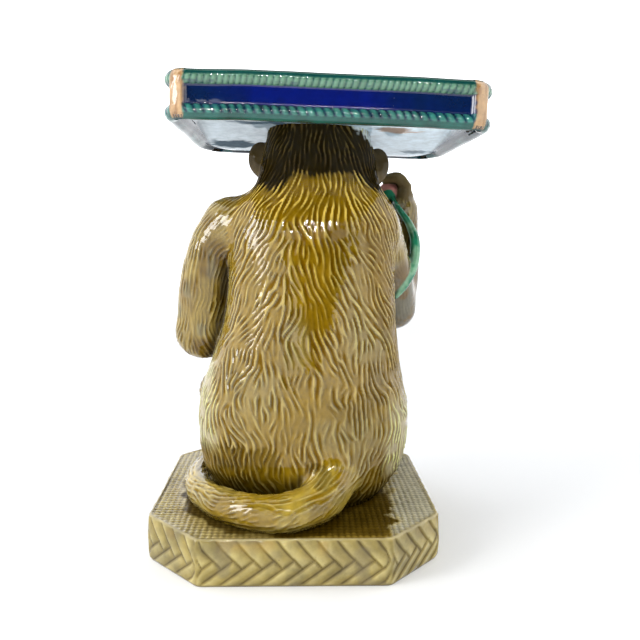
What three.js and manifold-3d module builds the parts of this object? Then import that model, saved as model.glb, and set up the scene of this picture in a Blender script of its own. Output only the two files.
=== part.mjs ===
// Figural plant stand: a monkey sits on a plaited plinth and carries a square
// cushion on its head. Millimetres, +Z up, origin in the middle of the plinth's
// underside. The monkey faces -Y; its left side is +X.
import * as THREE from 'three';
import { mergeVertices } from 'three/addons/utils/BufferGeometryUtils.js';
import Module from 'manifold-3d';

const wasm = await Module();
wasm.setup();

// ---------------------------------------------------------------- dimensions
const BASE_W = 290;            // plinth, across the flats, over the rim
const BASE_H = 46;             // plinth height
const BASE_CHAMFER = 55;       // cut-off corners
const RIM_H = 5;               // thin rim round the top of the plinth
const SIDE_IN = 4;             // core of the plinth stands back from the rim
const PLAIT_PITCH = 18.4;      // chevron strips, measured along a side
const PLAIT_LEAN = 23;         // sideways run of a strip over half the height
const PLAIT_GAP = 2.6;         // groove between strips
const PLAIT_RISE = 3.0;        // strips stand out from the core

const JOINT = 0.3;             // clearance at both joints
const BODY_Z = BASE_H + JOINT; // figure's lowest plane

const CUSHION_W = 290;         // along X
const CUSHION_D = 232;         // along Y
const CUSHION_R = 22;          // plan radius of the corners
const CUSHION_X = -28;         // centre of the cushion
const CUSHION_Y = 14;
const CUSHION_TOP = 458;       // top plateau at the centre
const CUSHION_UNDER = 421;     // underside field at the centre
const CUSHION_CANT = 1.1;      // degrees, +X side up
const CORD = 14;               // thickness of the two cords

const HEAD = { c: [-23, -11, 386], r: [59, 54, 56] };

// ---------------------------------------------------------------- helpers
const D2R = Math.PI / 180;
const V = (x, y, z) => new THREE.Vector3(x, y, z);

function solid(geo) {
  const g = geo.clone();
  g.deleteAttribute('normal');
  if (g.attributes.uv) g.deleteAttribute('uv');
  const m = mergeVertices(g, 1e-4);
  return new wasm.Manifold(new wasm.Mesh({
    numProp: 3,
    vertProperties: new Float32Array(m.attributes.position.array),
    triVerts: new Uint32Array(m.index.array),
  }));
}

function geometry(man) {
  const m = man.getMesh();
  const g = new THREE.BufferGeometry();
  const pos = new Float32Array(m.numProp === 3 ? m.vertProperties : m.vertProperties.filter((_, i) => i % m.numProp < 3));
  g.setAttribute('position', new THREE.BufferAttribute(pos, 3));
  g.setIndex(new THREE.BufferAttribute(new Uint32Array(m.triVerts), 1));
  g.computeVertexNormals();
  return g;
}

const join = (list) => list.reduce((a, b) => a.add(b));

// closed loft through rings that all hold the same number of points; the
// rings run anticlockwise seen from the end the loft goes to
function loft(rings) {
  const n = rings[0].length;
  const pos = [];
  const idx = [];
  for (const r of rings) for (const p of r) pos.push(p.x, p.y, p.z);
  for (let i = 0; i + 1 < rings.length; i++) {
    for (let j = 0; j < n; j++) {
      const a = i * n + j;
      const b = i * n + ((j + 1) % n);
      const c = a + n;
      const d = b + n;
      idx.push(a, b, d, a, d, c);
    }
  }
  const cap = (ring, at, flip) => {
    const m = ring.reduce((s, p) => s.add(p), V(0, 0, 0)).multiplyScalar(1 / n);
    const k = pos.length / 3;
    pos.push(m.x, m.y, m.z);
    for (let j = 0; j < n; j++) {
      const a = at + j;
      const b = at + ((j + 1) % n);
      if (flip) idx.push(k, b, a); else idx.push(k, a, b);
    }
  };
  cap(rings[0], 0, true);
  cap(rings[rings.length - 1], (rings.length - 1) * n, false);
  const g = new THREE.BufferGeometry();
  g.setAttribute('position', new THREE.BufferAttribute(new Float32Array(pos), 3));
  g.setIndex(idx);
  return g;
}

// round limb through points [x, y, z, r], with domed ends
function limb(pts, sides = 12, steps = 2, dome = [40, 76]) {
  const path = new THREE.CatmullRomCurve3(pts.map((p) => V(p[0], p[1], p[2])), false, 'centripetal');
  const n = (pts.length - 1) * steps;
  const stations = [];
  for (let i = 0; i <= n; i++) {
    const t = i / n;
    const k = Math.min(Math.floor(t * (pts.length - 1)), pts.length - 2);
    const f = t * (pts.length - 1) - k;
    const s = f * f * (3 - 2 * f);
    stations.push({ p: path.getPoint(t), d: path.getTangent(t), r: pts[k][3] * (1 - s) + pts[k + 1][3] * s });
  }
  const first = stations[0];
  const last = stations[n];
  const all = [];
  for (const a of [...dome].reverse()) {
    all.push({ p: first.p.clone().addScaledVector(first.d, -first.r * Math.sin(a * D2R)), d: first.d, r: first.r * Math.cos(a * D2R) });
  }
  all.push(...stations);
  for (const a of dome) {
    all.push({ p: last.p.clone().addScaledVector(last.d, last.r * Math.sin(a * D2R)), d: last.d, r: last.r * Math.cos(a * D2R) });
  }
  let u = Math.abs(first.d.z) < 0.9 ? V(0, 0, 1) : V(1, 0, 0);
  const rings = all.map((s) => {
    u = u.clone().addScaledVector(s.d, -u.dot(s.d)).normalize();
    const v = s.d.clone().cross(u);
    const ring = [];
    for (let j = 0; j < sides; j++) {
      const a = (2 * Math.PI * j) / sides;
      ring.push(s.p.clone().addScaledVector(u, s.r * Math.cos(a)).addScaledVector(v, s.r * Math.sin(a)));
    }
    return ring;
  });
  return solid(loft(rings));
}

function blob(c, r, rot = [0, 0, 0], w = 14, h = 8) {
  const g = new THREE.SphereGeometry(1, w, h);
  g.rotateX(Math.PI / 2);
  g.scale(r[0], r[1], r[2]);
  g.rotateX(rot[0] * D2R);
  g.rotateY(rot[1] * D2R);
  g.rotateZ(rot[2] * D2R);
  g.translate(c[0], c[1], c[2]);
  return solid(g);
}

// trunk ring: different reach to the left, right, back and front
function ring(z, xl, xr, yb, yf, n = 18, e = 2.35) {
  const cx = (xl + xr) / 2;
  const rx = (xl - xr) / 2;
  const cy = 12;
  const out = [];
  for (let j = 0; j < n; j++) {
    const a = (2 * Math.PI * j) / n;
    const c = Math.cos(a);
    const s = Math.sin(a);
    const x = cx + rx * Math.sign(c) * Math.abs(c) ** (2 / e);
    const ry = s > 0 ? yb - cy : cy - yf;
    out.push(V(x, cy + ry * Math.sign(s) * Math.abs(s) ** (2 / e), z));
  }
  return out;
}

// ---------------------------------------------------------------- plinth
function octagon(w, c) {
  const h = w / 2;
  const s = new THREE.Shape();
  s.moveTo(h, -h + c);
  s.lineTo(h, h - c);
  s.lineTo(h - c, h);
  s.lineTo(-h + c, h);
  s.lineTo(-h, h - c);
  s.lineTo(-h, -h + c);
  s.lineTo(-h + c, -h);
  s.lineTo(h - c, -h);
  s.closePath();
  return s;
}

function prism(shape, z0, z1) {
  const g = new THREE.ExtrudeGeometry(shape, { depth: z1 - z0, bevelEnabled: false });
  g.translate(0, 0, z0);
  return solid(g);
}

// one chevron strip: a bent parallelogram pointing along +u, standing out by
// PLAIT_RISE; u runs to the right for someone who looks at the side from outside
function chevron(u, pitch, zLow, zHigh) {
  const mid = (zLow + zHigh) / 2;
  const w = pitch - PLAIT_GAP;
  const s = new THREE.Shape();
  s.moveTo(u, zLow);
  s.lineTo(u + w, zLow);
  s.lineTo(u + w + PLAIT_LEAN, mid);
  s.lineTo(u + w, zHigh);
  s.lineTo(u, zHigh);
  s.lineTo(u + PLAIT_LEAN, mid);
  s.closePath();
  return s;
}

function plinth() {
  const core = BASE_W - 2 * SIDE_IN;
  const coreChamfer = BASE_CHAMFER - SIDE_IN * (2 - Math.SQRT2);
  const parts = [
    prism(octagon(core, coreChamfer), 0, BASE_H - RIM_H / 2),
    prism(octagon(BASE_W, BASE_CHAMFER), BASE_H - RIM_H, BASE_H),
    prism(octagon(BASE_W - 1.6, BASE_CHAMFER - 0.5), 0, 3.2),
  ];
  const longSide = core - 2 * coreChamfer;
  const cutSide = coreChamfer * Math.SQRT2;
  const zLow = 3.0;
  const zHigh = BASE_H - RIM_H + 0.4;
  for (let k = 0; k < 8; k++) {
    const corner = k % 2 === 1;
    const len = corner ? cutSide : longSide;
    const dist = corner ? (core - coreChamfer) / Math.SQRT2 : core / 2;
    const count = Math.ceil(len / PLAIT_PITCH);
    const pitch = PLAIT_PITCH;
    // clip box keeps the strips on their own side
    const clip = new THREE.BoxGeometry(len - 1.6, 2 * PLAIT_RISE, BASE_H);
    clip.translate(0, 0, BASE_H / 2);
    const strips = [];
    for (let i = -2; i < count; i++) {
      const g = new THREE.ExtrudeGeometry(chevron(-len / 2 + i * pitch + PLAIT_GAP / 2, pitch, zLow, zHigh), { depth: PLAIT_RISE + 1, bevelEnabled: false });
      g.rotateX(Math.PI / 2);      // shape y -> z, depth -> -y
      g.translate(0, 1, 0);        // sunk 1 mm into the core
      strips.push(solid(g));
    }
    let side = join(strips).intersect(solid(clip));
    // local frame: outward is -y, +x to the right of an outside viewer
    const turn = k * 45;
    side = side.translate([0, -dist, 0]).rotate([0, 0, turn]);
    parts.push(side);
  }
  return join(parts);
}

// ---------------------------------------------------------------- cushion
function roundedRect(z, inset, n = 3) {
  const hx = CUSHION_W / 2 - inset;
  const hy = CUSHION_D / 2 - inset;
  const r = Math.max(CUSHION_R - inset * 0.6, 4);
  const out = [];
  const corners = [[hx - r, hy - r, 0], [-hx + r, hy - r, 90], [-hx + r, -hy + r, 180], [hx - r, -hy + r, 270]];
  for (const [cx, cy, a0] of corners) {
    for (let i = 0; i <= n; i++) {
      const a = (a0 + (90 * i) / n) * D2R;
      out.push(V(cx + r * Math.cos(a), cy + r * Math.sin(a), z));
    }
  }
  return out;
}

function cushion() {
  const t = CUSHION_TOP - CUSHION_UNDER;  // plateau to underside field
  const lo = -t - 6;                      // lowest line of the lower cord
  const prof = [
    [-t, 15],
    [lo + 1.6, 11.5],
    [lo, 7],
    [lo + 1.8, 2.2],
    [lo + 7, 0],
    [lo + 12, 1.8],
    [lo + CORD, 5.2],
    [-t + CORD + 8.5, 5.2],
    [-t + CORD + 10.5, 1.8],
    [-7.5, 0],
    [-2.6, 2.0],
    [-1.0, 6.5],
    [-2.2, 11],
    [-2.6, 15],
    [-1.2, 26],
    [0, 42],
  ];
  const body = solid(loft(prof.map(([z, i]) => roundedRect(z, i))));
  const parts = [body];
  // one corner strap on each upright edge
  for (const [sx, sy] of [[1, 1], [-1, 1], [-1, -1], [1, -1]]) {
    const cx = sx * (CUSHION_W / 2 - 9.5);
    const cy = sy * (CUSHION_D / 2 - 9.5);
    parts.push(limb([[cx, cy, -31, 9], [cx, cy, -22, 8.2], [cx, cy, -12, 8.6]], 8, 1));
  }
  return join(parts)
    .rotate([0, -CUSHION_CANT, 0])
    .translate([CUSHION_X, CUSHION_Y, CUSHION_TOP]);
}

// ---------------------------------------------------------------- monkey
// trunk stations: z, reach to +X, to -X, to the back (+Y), to the front (-Y)
const TRUNK = [
  [42, 74, -86, 80, -38],
  [56, 86, -98, 90, -46],
  [74, 95, -110, 97, -50],
  [98, 101, -118, 102, -54],
  [130, 103, -121, 104, -60],
  [160, 99, -116, 103, -64],
  [190, 88, -109, 100, -67],
  [225, 76, -105, 96, -68],
  [265, 70, -103, 91, -67],
  [300, 70, -102, 86, -62],
  [324, 71, -100, 80, -55],
  [343, 64, -97, 74, -49],
  [358, 52, -92, 67, -44],
  [372, 41, -84, 60, -40],
  [392, 33, -77, 53, -36],
];

// limbs: x, y, z, radius; each folds at its elbow or knee
const ARM_L = [
  [[69, 6, 328, 31], [88, 4, 300, 28], [97, 0, 258, 28.5], [101, -6, 215, 29]],
  [[101, -6, 214, 28], [92, -40, 207, 24], [70, -68, 209, 19], [48, -86, 213, 15]],
];
const ARM_R = [
  [[-78, 0, 324, 31], [-95, -14, 298, 27], [-106, -32, 264, 26.5], [-112, -46, 238, 24.5]],
  [[-112, -50, 238, 24.5], [-119, -57, 274, 24], [-121, -59, 312, 20.5], [-124, -60, 350, 16]],
];
const LEG_L = [
  [[50, 30, 98, 46], [66, -10, 114, 38], [82, -62, 133, 31]],
  [[83, -66, 131, 29], [79, -86, 98, 22], [75, -98, 58, 15]],
];
const LEG_R = [
  [[-68, 28, 98, 46], [-87, -10, 106, 37], [-102, -62, 120, 31]],
  [[-103, -66, 118, 29], [-100, -86, 92, 22], [-97, -98, 58, 15]],
];
const TAIL = [[-42, 80, 88, 22], [-30, 103, 72, 21], [-10, 116, 64, 19], [15, 121.5, 61.5, 17.3], [43, 114.5, 60.5, 15.8], [70, 97.5, 60, 15.2], [91, 69, 59.3, 14.3], [103.5, 34, 58.5, 13.2], [105, -6, 57.5, 11.5], [100, -34, 56.5, 9.5], [94, -50, 55.5, 6.5]];
const FEATURE = {
  muzzle: { c: [-22, -66, 362], r: [31, 27, 23] },
  chin: { c: [-22, -64, 346], r: [21, 20, 13] },
  brow: { c: [-23, -55, 398], r: [40, 15, 11] },
  cheekL: { c: [8, -46, 368], r: [22, 20, 22] },
  cheekR: { c: [-54, -46, 368], r: [22, 20, 22] },
  nose: { c: [-22, -85, 377], r: [12, 9, 8] },
  eye: { dx: 17, y: -60, z: 385, r: 8 },
  earL: { c: [38, -5, 398], r: [15.5, 7, 18], rot: [0, 0, -24] },
  earR: { c: [-84, -5, 393], r: [15, 7, 19], rot: [0, 0, 24] },
};
const FRUIT_BIG = { c: [16, -96, 208], r: 28 };
const FRUIT_SMALL = { c: [-108, -70, 367], r: 15 };

function hand(palm, palmR, rot, fingers) {
  const parts = [blob(palm, palmR, rot, 10, 7)];
  for (const f of fingers) parts.push(limb(f, 5, 1, [55]));
  return join(parts);
}

function monkey() {
  const parts = [];
  parts.push(solid(loft(TRUNK.map((s) => ring(...s)))));
  parts.push(blob(HEAD.c, HEAD.r, [0, 0, 0], 16, 10));
  for (const k of ['muzzle', 'chin', 'brow', 'cheekL', 'cheekR', 'nose']) {
    parts.push(blob(FEATURE[k].c, FEATURE[k].r, [0, 0, 0], 10, 6));
  }
  // ears: round shells, hollowed from the front
  for (const k of ['earL', 'earR']) {
    const e = FEATURE[k];
    const shell = blob(e.c, e.r, e.rot, 10, 6);
    const bowl = blob([e.c[0], e.c[1] - 7, e.c[2]], [e.r[0] * 0.66, e.r[1] * 0.75, e.r[2] * 0.66], e.rot, 8, 5);
    parts.push(shell.subtract(bowl));
  }
  for (const pts of [...ARM_L, ...ARM_R, ...LEG_L, ...LEG_R]) parts.push(limb(pts, 9, 1, [50]));
  parts.push(limb(TAIL, 7, 1));
  // left hand round the large fruit
  parts.push(blob([39, -104, 212], [8, 7, 13], [0, 0, 0], 8, 5));
  parts.push(blob(FRUIT_BIG.c, [FRUIT_BIG.r, FRUIT_BIG.r, FRUIT_BIG.r], [0, 0, 0], 12, 8));
  parts.push(hand([42, -92, 212], [15, 17, 12], [0, 0, 30], [
    [[40, -102, 222, 6.2], [26, -122, 223, 5.6], [10, -126, 219, 5]],
    [[42, -106, 212, 6.4], [26, -125, 211, 5.8], [10, -127, 208, 5.2]],
    [[42, -105, 202, 6.2], [26, -122, 199, 5.6], [11, -124, 197, 5]],
    [[40, -98, 194, 5.8], [27, -112, 188, 5.2], [15, -114, 186, 4.8]],
    [[40, -88, 222, 6.8], [28, -92, 234, 6], [16, -96, 238, 5.4]],
  ]));
  // right hand lifts the small fruit to the mouth
  parts.push(blob(FRUIT_SMALL.c, [FRUIT_SMALL.r, FRUIT_SMALL.r, FRUIT_SMALL.r], [0, 0, 0], 10, 6));
  parts.push(hand([-125, -61, 362], [10.5, 14, 18], [0, 10, 0], [
    [[-125, -58, 376, 7], [-116, -59, 386, 6.6], [-104, -66, 385, 5.9]],
    [[-126, -70, 374, 6.8], [-117, -82, 378, 6.4], [-104, -88, 375, 5.7]],
    [[-126, -73, 363, 6.6], [-117, -87, 365, 6.2], [-104, -92, 362, 5.5]],
    [[-125, -71, 353, 6.3], [-117, -84, 352, 5.8], [-105, -89, 351, 5.2]],
    [[-121, -50, 350, 7], [-112, -50, 349, 6.5], [-101, -57, 354, 5.7]],
  ]));
  // stem and leaves of the small fruit: one ribbon over the upper arm, two below the hand
  parts.push(limb([[-111, -56, 362, 5], [-125, -36, 336, 5.5], [-132, -28, 308, 6.5], [-127, -17, 284, 6.5], [-109, -9, 254, 5]], 6, 1, [50]));
  parts.push(blob([-121, -82, 330], [10, 5.5, 24], [10, 8, 0], 8, 5));
  parts.push(blob([-104, -80, 338], [9, 5.5, 21], [14, -22, 0], 8, 5));
  // feet
  for (const x of [74, -96]) {
    parts.push(blob([x, -108, 58], [21, 26, 13], [0, 0, 0], 10, 6));
    for (let i = 0; i < 4; i++) {
      const u = (i - 1.2) * 10.5;
      parts.push(limb([[x + u * 0.8, -118, 57, 7.4], [x + u, -130, 54.5, 6.2], [x + u * 1.04, -137, 52.5, 5]], 5, 1, [50]));
    }
    const inner = x > 0 ? -1 : 1;
    parts.push(limb([[x + inner * 16, -104, 56, 7.5], [x + inner * 25, -114, 54.5, 6.6], [x + inner * 30, -124, 53, 5.6]], 5, 1, [55]));
  }
  let body = join(parts);
  // eyes sit in shallow sockets
  for (const s of [-1, 1]) {
    const x = -22.5 + s * FEATURE.eye.dx;
    body = body.subtract(blob([x, FEATURE.eye.y - 4, FEATURE.eye.z], [11, 10, 8.5], [0, 0, 0], 10, 6));
    body = body.add(blob([x, FEATURE.eye.y + 3.5, FEATURE.eye.z], [FEATURE.eye.r, FEATURE.eye.r, FEATURE.eye.r], [0, 0, 0], 10, 6));
    body = body.subtract(blob([-22 + s * 5, -93.5, 374.5], [2.6, 3.4, 2.2], [0, 0, 0], 8, 6));
  }
  // mouth: a shallow slot across the muzzle
  const slot = limb([[4, -80, 353, 1.8], [-12, -95, 354, 1.8], [-32, -95, 354, 1.8], [-48, -80, 353, 1.8]], 6, 1, [55]);
  body = body.subtract(slot);
  // flat seat on the plinth, canted seat under the cushion
  const below = new THREE.BoxGeometry(500, 500, 100);
  below.translate(0, 0, BODY_Z - 50);
  body = body.subtract(solid(below));
  const above = new THREE.BoxGeometry(500, 500, 100);
  above.translate(0, 0, 50 - JOINT - (CUSHION_TOP - CUSHION_UNDER));
  above.rotateY(-CUSHION_CANT * D2R);
  above.translate(CUSHION_X, CUSHION_Y, CUSHION_TOP);
  return body.subtract(solid(above));
}

// ---------------------------------------------------------------- assembly
const group = new THREE.Group();
group.name = 'figural_plant_stand';
function piece(name, man, colour, roughness) {
  const mesh = new THREE.Mesh(geometry(man), new THREE.MeshStandardMaterial({ color: colour, roughness, metalness: 0 }));
  mesh.name = name;
  group.add(mesh);
}
piece('base', plinth(), 0x9c8747, 0.25);
piece('monkey', monkey(), 0x7d642b, 0.22);
piece('cushion', cushion(), 0x14206e, 0.2);

export default group;
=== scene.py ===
import math

import bpy
import numpy as np
from mathutils import Matrix, Vector


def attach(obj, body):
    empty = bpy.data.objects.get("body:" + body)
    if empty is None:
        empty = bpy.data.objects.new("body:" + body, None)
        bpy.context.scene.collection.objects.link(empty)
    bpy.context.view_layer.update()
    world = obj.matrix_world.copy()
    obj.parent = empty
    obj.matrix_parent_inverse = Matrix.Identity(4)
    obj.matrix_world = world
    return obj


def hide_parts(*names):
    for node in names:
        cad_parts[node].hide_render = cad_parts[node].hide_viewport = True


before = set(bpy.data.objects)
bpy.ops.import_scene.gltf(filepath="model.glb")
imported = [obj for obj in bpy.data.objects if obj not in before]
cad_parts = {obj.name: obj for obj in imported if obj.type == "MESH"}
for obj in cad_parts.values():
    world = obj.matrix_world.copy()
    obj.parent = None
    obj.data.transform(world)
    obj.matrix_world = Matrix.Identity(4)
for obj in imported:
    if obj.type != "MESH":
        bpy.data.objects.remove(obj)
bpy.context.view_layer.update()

# Lengths here are millimetres, as in the solids; meshes are scaled to metres.
MM = 0.001

# ------------------------------------------------------------------ sizes
BASE_W, BASE_H, BASE_CHAMFER = 290.0, 46.0, 55.0
JOINT = 0.3
CUSHION_W, CUSHION_D, CUSHION_R = 290.0, 232.0, 25.0
CUSHION_X, CUSHION_Y = -28.0, 14.0
CUSHION_TOP, CUSHION_UNDER = 458.0, 421.0
CUSHION_CANT = math.radians(1.1)

FUR_CELL = 1.3


# ------------------------------------------------------------------ noise
def _hash(i, j, k, seed):
    n = (i * 73856093) ^ (j * 19349663) ^ (k * 83492791) ^ (seed * 1013904223 + 12345)
    n = n & 0xFFFFFFFF
    n = ((n ^ (n >> 13)) * 1274126177) & 0xFFFFFFFF
    n = n ^ (n >> 16)
    return (n & 0xFFFF) / 65535.0


def noise(P, scale, seed=0):
    """Smooth value noise from -1 to 1."""
    Q = P / scale
    I = np.floor(Q).astype(np.int64)
    F = Q - I
    F = F * F * F * (F * (F * 6 - 15) + 10)
    out = np.zeros(len(P))
    for dx in (0, 1):
        wx = F[:, 0] if dx else 1 - F[:, 0]
        for dy in (0, 1):
            wy = F[:, 1] if dy else 1 - F[:, 1]
            for dz in (0, 1):
                wz = F[:, 2] if dz else 1 - F[:, 2]
                out += wx * wy * wz * _hash(I[:, 0] + dx, I[:, 1] + dy, I[:, 2] + dz, seed)
    return out * 2 - 1


def step(a, b, x):
    t = np.clip((x - a) / (b - a), 0, 1)
    return t * t * (3 - 2 * t)


def unit(v):
    return v / np.maximum(np.sqrt((v * v).sum(1)), 1e-9)[:, None]


# ------------------------------------------------------------------ implicit shapes
def smin(a, b, k):
    h = np.clip(0.5 + 0.5 * (b - a) / k, 0, 1)
    return b * (1 - h) + a * h - k * h * (1 - h)


def smax(a, b, k):
    return -smin(-a, -b, k)


def spline(pts, n=4):
    """Catmull-Rom points through [x, y, z, r]."""
    p = np.array(pts, float)
    q = np.vstack([2 * p[0] - p[1], p, 2 * p[-1] - p[-2]])
    out = []
    for i in range(1, len(q) - 2):
        for s in range(n):
            t = s / n
            out.append(0.5 * (2 * q[i] + (q[i + 1] - q[i - 1]) * t
                              + (2 * q[i - 1] - 5 * q[i] + 4 * q[i + 1] - q[i + 2]) * t * t
                              + (3 * q[i] - q[i - 1] - 3 * q[i + 1] + q[i + 2]) * t ** 3))
    out.append(p[-1])
    return np.array(out)


BIG = 60.0


def near(P, lo, hi, margin=26.0):
    return ((P > np.array(lo) - margin) & (P < np.array(hi) + margin)).all(1)


def chain(P, pts):
    """Distance to a chain of tapered capsules."""
    pts = np.asarray(pts, float)
    d = np.full(len(P), BIG)
    r = pts[:, 3].max()
    m = near(P, pts[:, :3].min(0) - r, pts[:, :3].max(0) + r)
    if not m.any():
        return d
    Q = P[m]
    best = np.full(len(Q), BIG)
    for a, b in zip(pts[:-1], pts[1:]):
        ab = b[:3] - a[:3]
        L = max(ab @ ab, 1e-9)
        t = np.clip(((Q - a[:3]) @ ab) / L, 0, 1)
        v = Q - a[:3] - t[:, None] * ab
        best = np.minimum(best, np.sqrt((v * v).sum(1)) - (a[3] + (b[3] - a[3]) * t))
    d[m] = best
    return d


def rot(x, y, z):
    x, y, z = (math.radians(v) for v in (x, y, z))
    return np.array((Matrix.Rotation(z, 3, "Z") @ Matrix.Rotation(y, 3, "Y") @ Matrix.Rotation(x, 3, "X")))


def ball(P, c, r, turn=None):
    """Distance to an ellipsoid, near its surface."""
    c, r = np.array(c, float), np.array(r, float)
    d = np.full(len(P), BIG)
    m = near(P, c - r.max(), c + r.max())
    if not m.any():
        return d
    Q = P[m] - c
    if turn is not None:
        Q = Q @ rot(*turn)
    k0 = np.sqrt(((Q / r) ** 2).sum(1))
    k1 = np.sqrt(((Q / (r * r)) ** 2).sum(1))
    d[m] = k0 * (k0 - 1) / np.maximum(k1, 1e-9)
    return d


TRUNK = np.array([
    [42, 74, -86, 80, -38], [56, 86, -98, 90, -46], [74, 95, -110, 97, -50],
    [98, 101, -118, 102, -54], [130, 103, -121, 104, -60], [160, 99, -116, 103, -64],
    [190, 88, -109, 100, -67], [225, 76, -105, 96, -68], [265, 70, -103, 91, -67],
    [300, 70, -102, 86, -62], [324, 71, -100, 80, -55], [343, 64, -97, 74, -49],
    [358, 52, -92, 67, -44], [372, 41, -84, 59, -40], [392, 33, -77, 51, -36],
    [412, 30, -74, 44, -34], [436, 28, -72, 40, -34]], float)

ARM_L = spline([[69, 6, 328, 31], [88, 4, 300, 28], [97, 0, 258, 28.5], [101, -6, 215, 29]])
FORE_L = spline([[101, -6, 214, 28], [92, -40, 207, 24], [70, -68, 209, 19], [48, -86, 213, 15]])
ARM_R = spline([[-78, 0, 324, 31], [-95, -14, 298, 27], [-106, -32, 264, 26.5], [-112, -46, 238, 24.5]])
FORE_R = spline([[-112, -50, 238, 24.5], [-119, -57, 274, 24], [-121, -59, 312, 20.5], [-124, -60, 350, 16]])
THIGH_L = spline([[50, 30, 98, 46], [66, -10, 114, 38], [82, -62, 133, 31]])
SHIN_L = spline([[83, -66, 131, 29], [79, -86, 98, 22], [75, -98, 58, 15]])
THIGH_R = spline([[-68, 28, 98, 46], [-87, -10, 106, 37], [-102, -62, 120, 31]])
SHIN_R = spline([[-103, -66, 118, 29], [-100, -86, 92, 22], [-97, -98, 58, 15]])
TAIL = spline([[-48, 58, 108, 22], [-42, 80, 88, 22], [-30, 103, 72, 21], [-10, 116, 64, 19],
               [15, 123.5, 61.5, 18.0], [43, 116.5, 60.5, 16.5], [70, 97.5, 60, 15.2], [91, 69, 59.3, 14.3],
               [103.5, 34, 58.5, 13.2], [105, -6, 57.5, 11.5], [100, -34, 56.5, 9.5], [94, -50, 55.5, 6.5]], 3)
XC = -22.5
FINGERS_L = [
    [[40, -102, 222, 6.4], [26, -121, 223, 5.8], [10, -125, 219, 5.2]],
    [[42, -106, 212, 6.6], [26, -124, 211, 6.0], [10, -127, 208, 5.3]],
    [[42, -105, 202, 6.4], [26, -121, 199, 5.8], [11, -124, 197, 5.2]],
    [[40, -98, 194, 6.0], [27, -111, 188, 5.4], [15, -113, 186, 4.9]],
    [[40, -88, 222, 7.0], [28, -92, 234, 6.2], [16, -96, 238, 5.5]]]
FINGERS_R = [
    [[-125, -58, 376, 7.0], [-116, -59, 386, 6.6], [-104, -66, 385, 5.9]],
    [[-126, -70, 374, 6.8], [-117, -82, 378, 6.4], [-104, -88, 375, 5.7]],
    [[-126, -73, 363, 6.6], [-117, -87, 365, 6.2], [-104, -92, 362, 5.5]],
    [[-125, -71, 353, 6.3], [-117, -84, 352, 5.8], [-105, -89, 351, 5.2]],
    [[-121, -50, 350, 7.0], [-112, -50, 349, 6.5], [-101, -57, 354, 5.7]]]
LEAF_STEM = spline([[-110, -57, 363, 2.6], [-114, -41, 352, 3.0], [-125, -36, 336, 4.5], [-132, -32, 318, 6.0],
                    [-132, -26, 300, 6.5], [-127, -17, 284, 6.5], [-118, -9, 268, 5.5], [-109, -7, 254, 3.0]])


def trunk(P):
    z = P[:, 2]
    zi = TRUNK[:, 0]
    xl, xr, yb, yf = (np.interp(z, zi, TRUNK[:, k]) for k in (1, 2, 3, 4))
    # soften the table's corners
    for k, arr in ((1, "xl"), (2, "xr"), (3, "yb"), (4, "yf")):
        v = 0.5 * np.interp(z, zi, TRUNK[:, k]) + 0.25 * np.interp(z - 9, zi, TRUNK[:, k]) + 0.25 * np.interp(z + 9, zi, TRUNK[:, k])
        if arr == "xl":
            xl = v
        elif arr == "xr":
            xr = v
        elif arr == "yb":
            yb = v
        else:
            yf = v
    cx, rx = (xl + xr) / 2, (xl - xr) / 2
    cy = 12.0
    dx, dy = P[:, 0] - cx, P[:, 1] - cy
    ry = np.where(dy > 0, yb - cy, cy - yf)
    e = 2.35
    rho = (np.abs(dx / rx) ** e + np.abs(dy / ry) ** e) ** (1 / e)
    r = np.sqrt(dx * dx + dy * dy)
    d = np.where(rho > 1e-4, r * (1 - 1 / np.maximum(rho, 1e-4)), -rx)
    d = np.maximum(d, -0.8 * rx)
    return np.maximum(np.maximum(d, 38 - z), z - 440)


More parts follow.
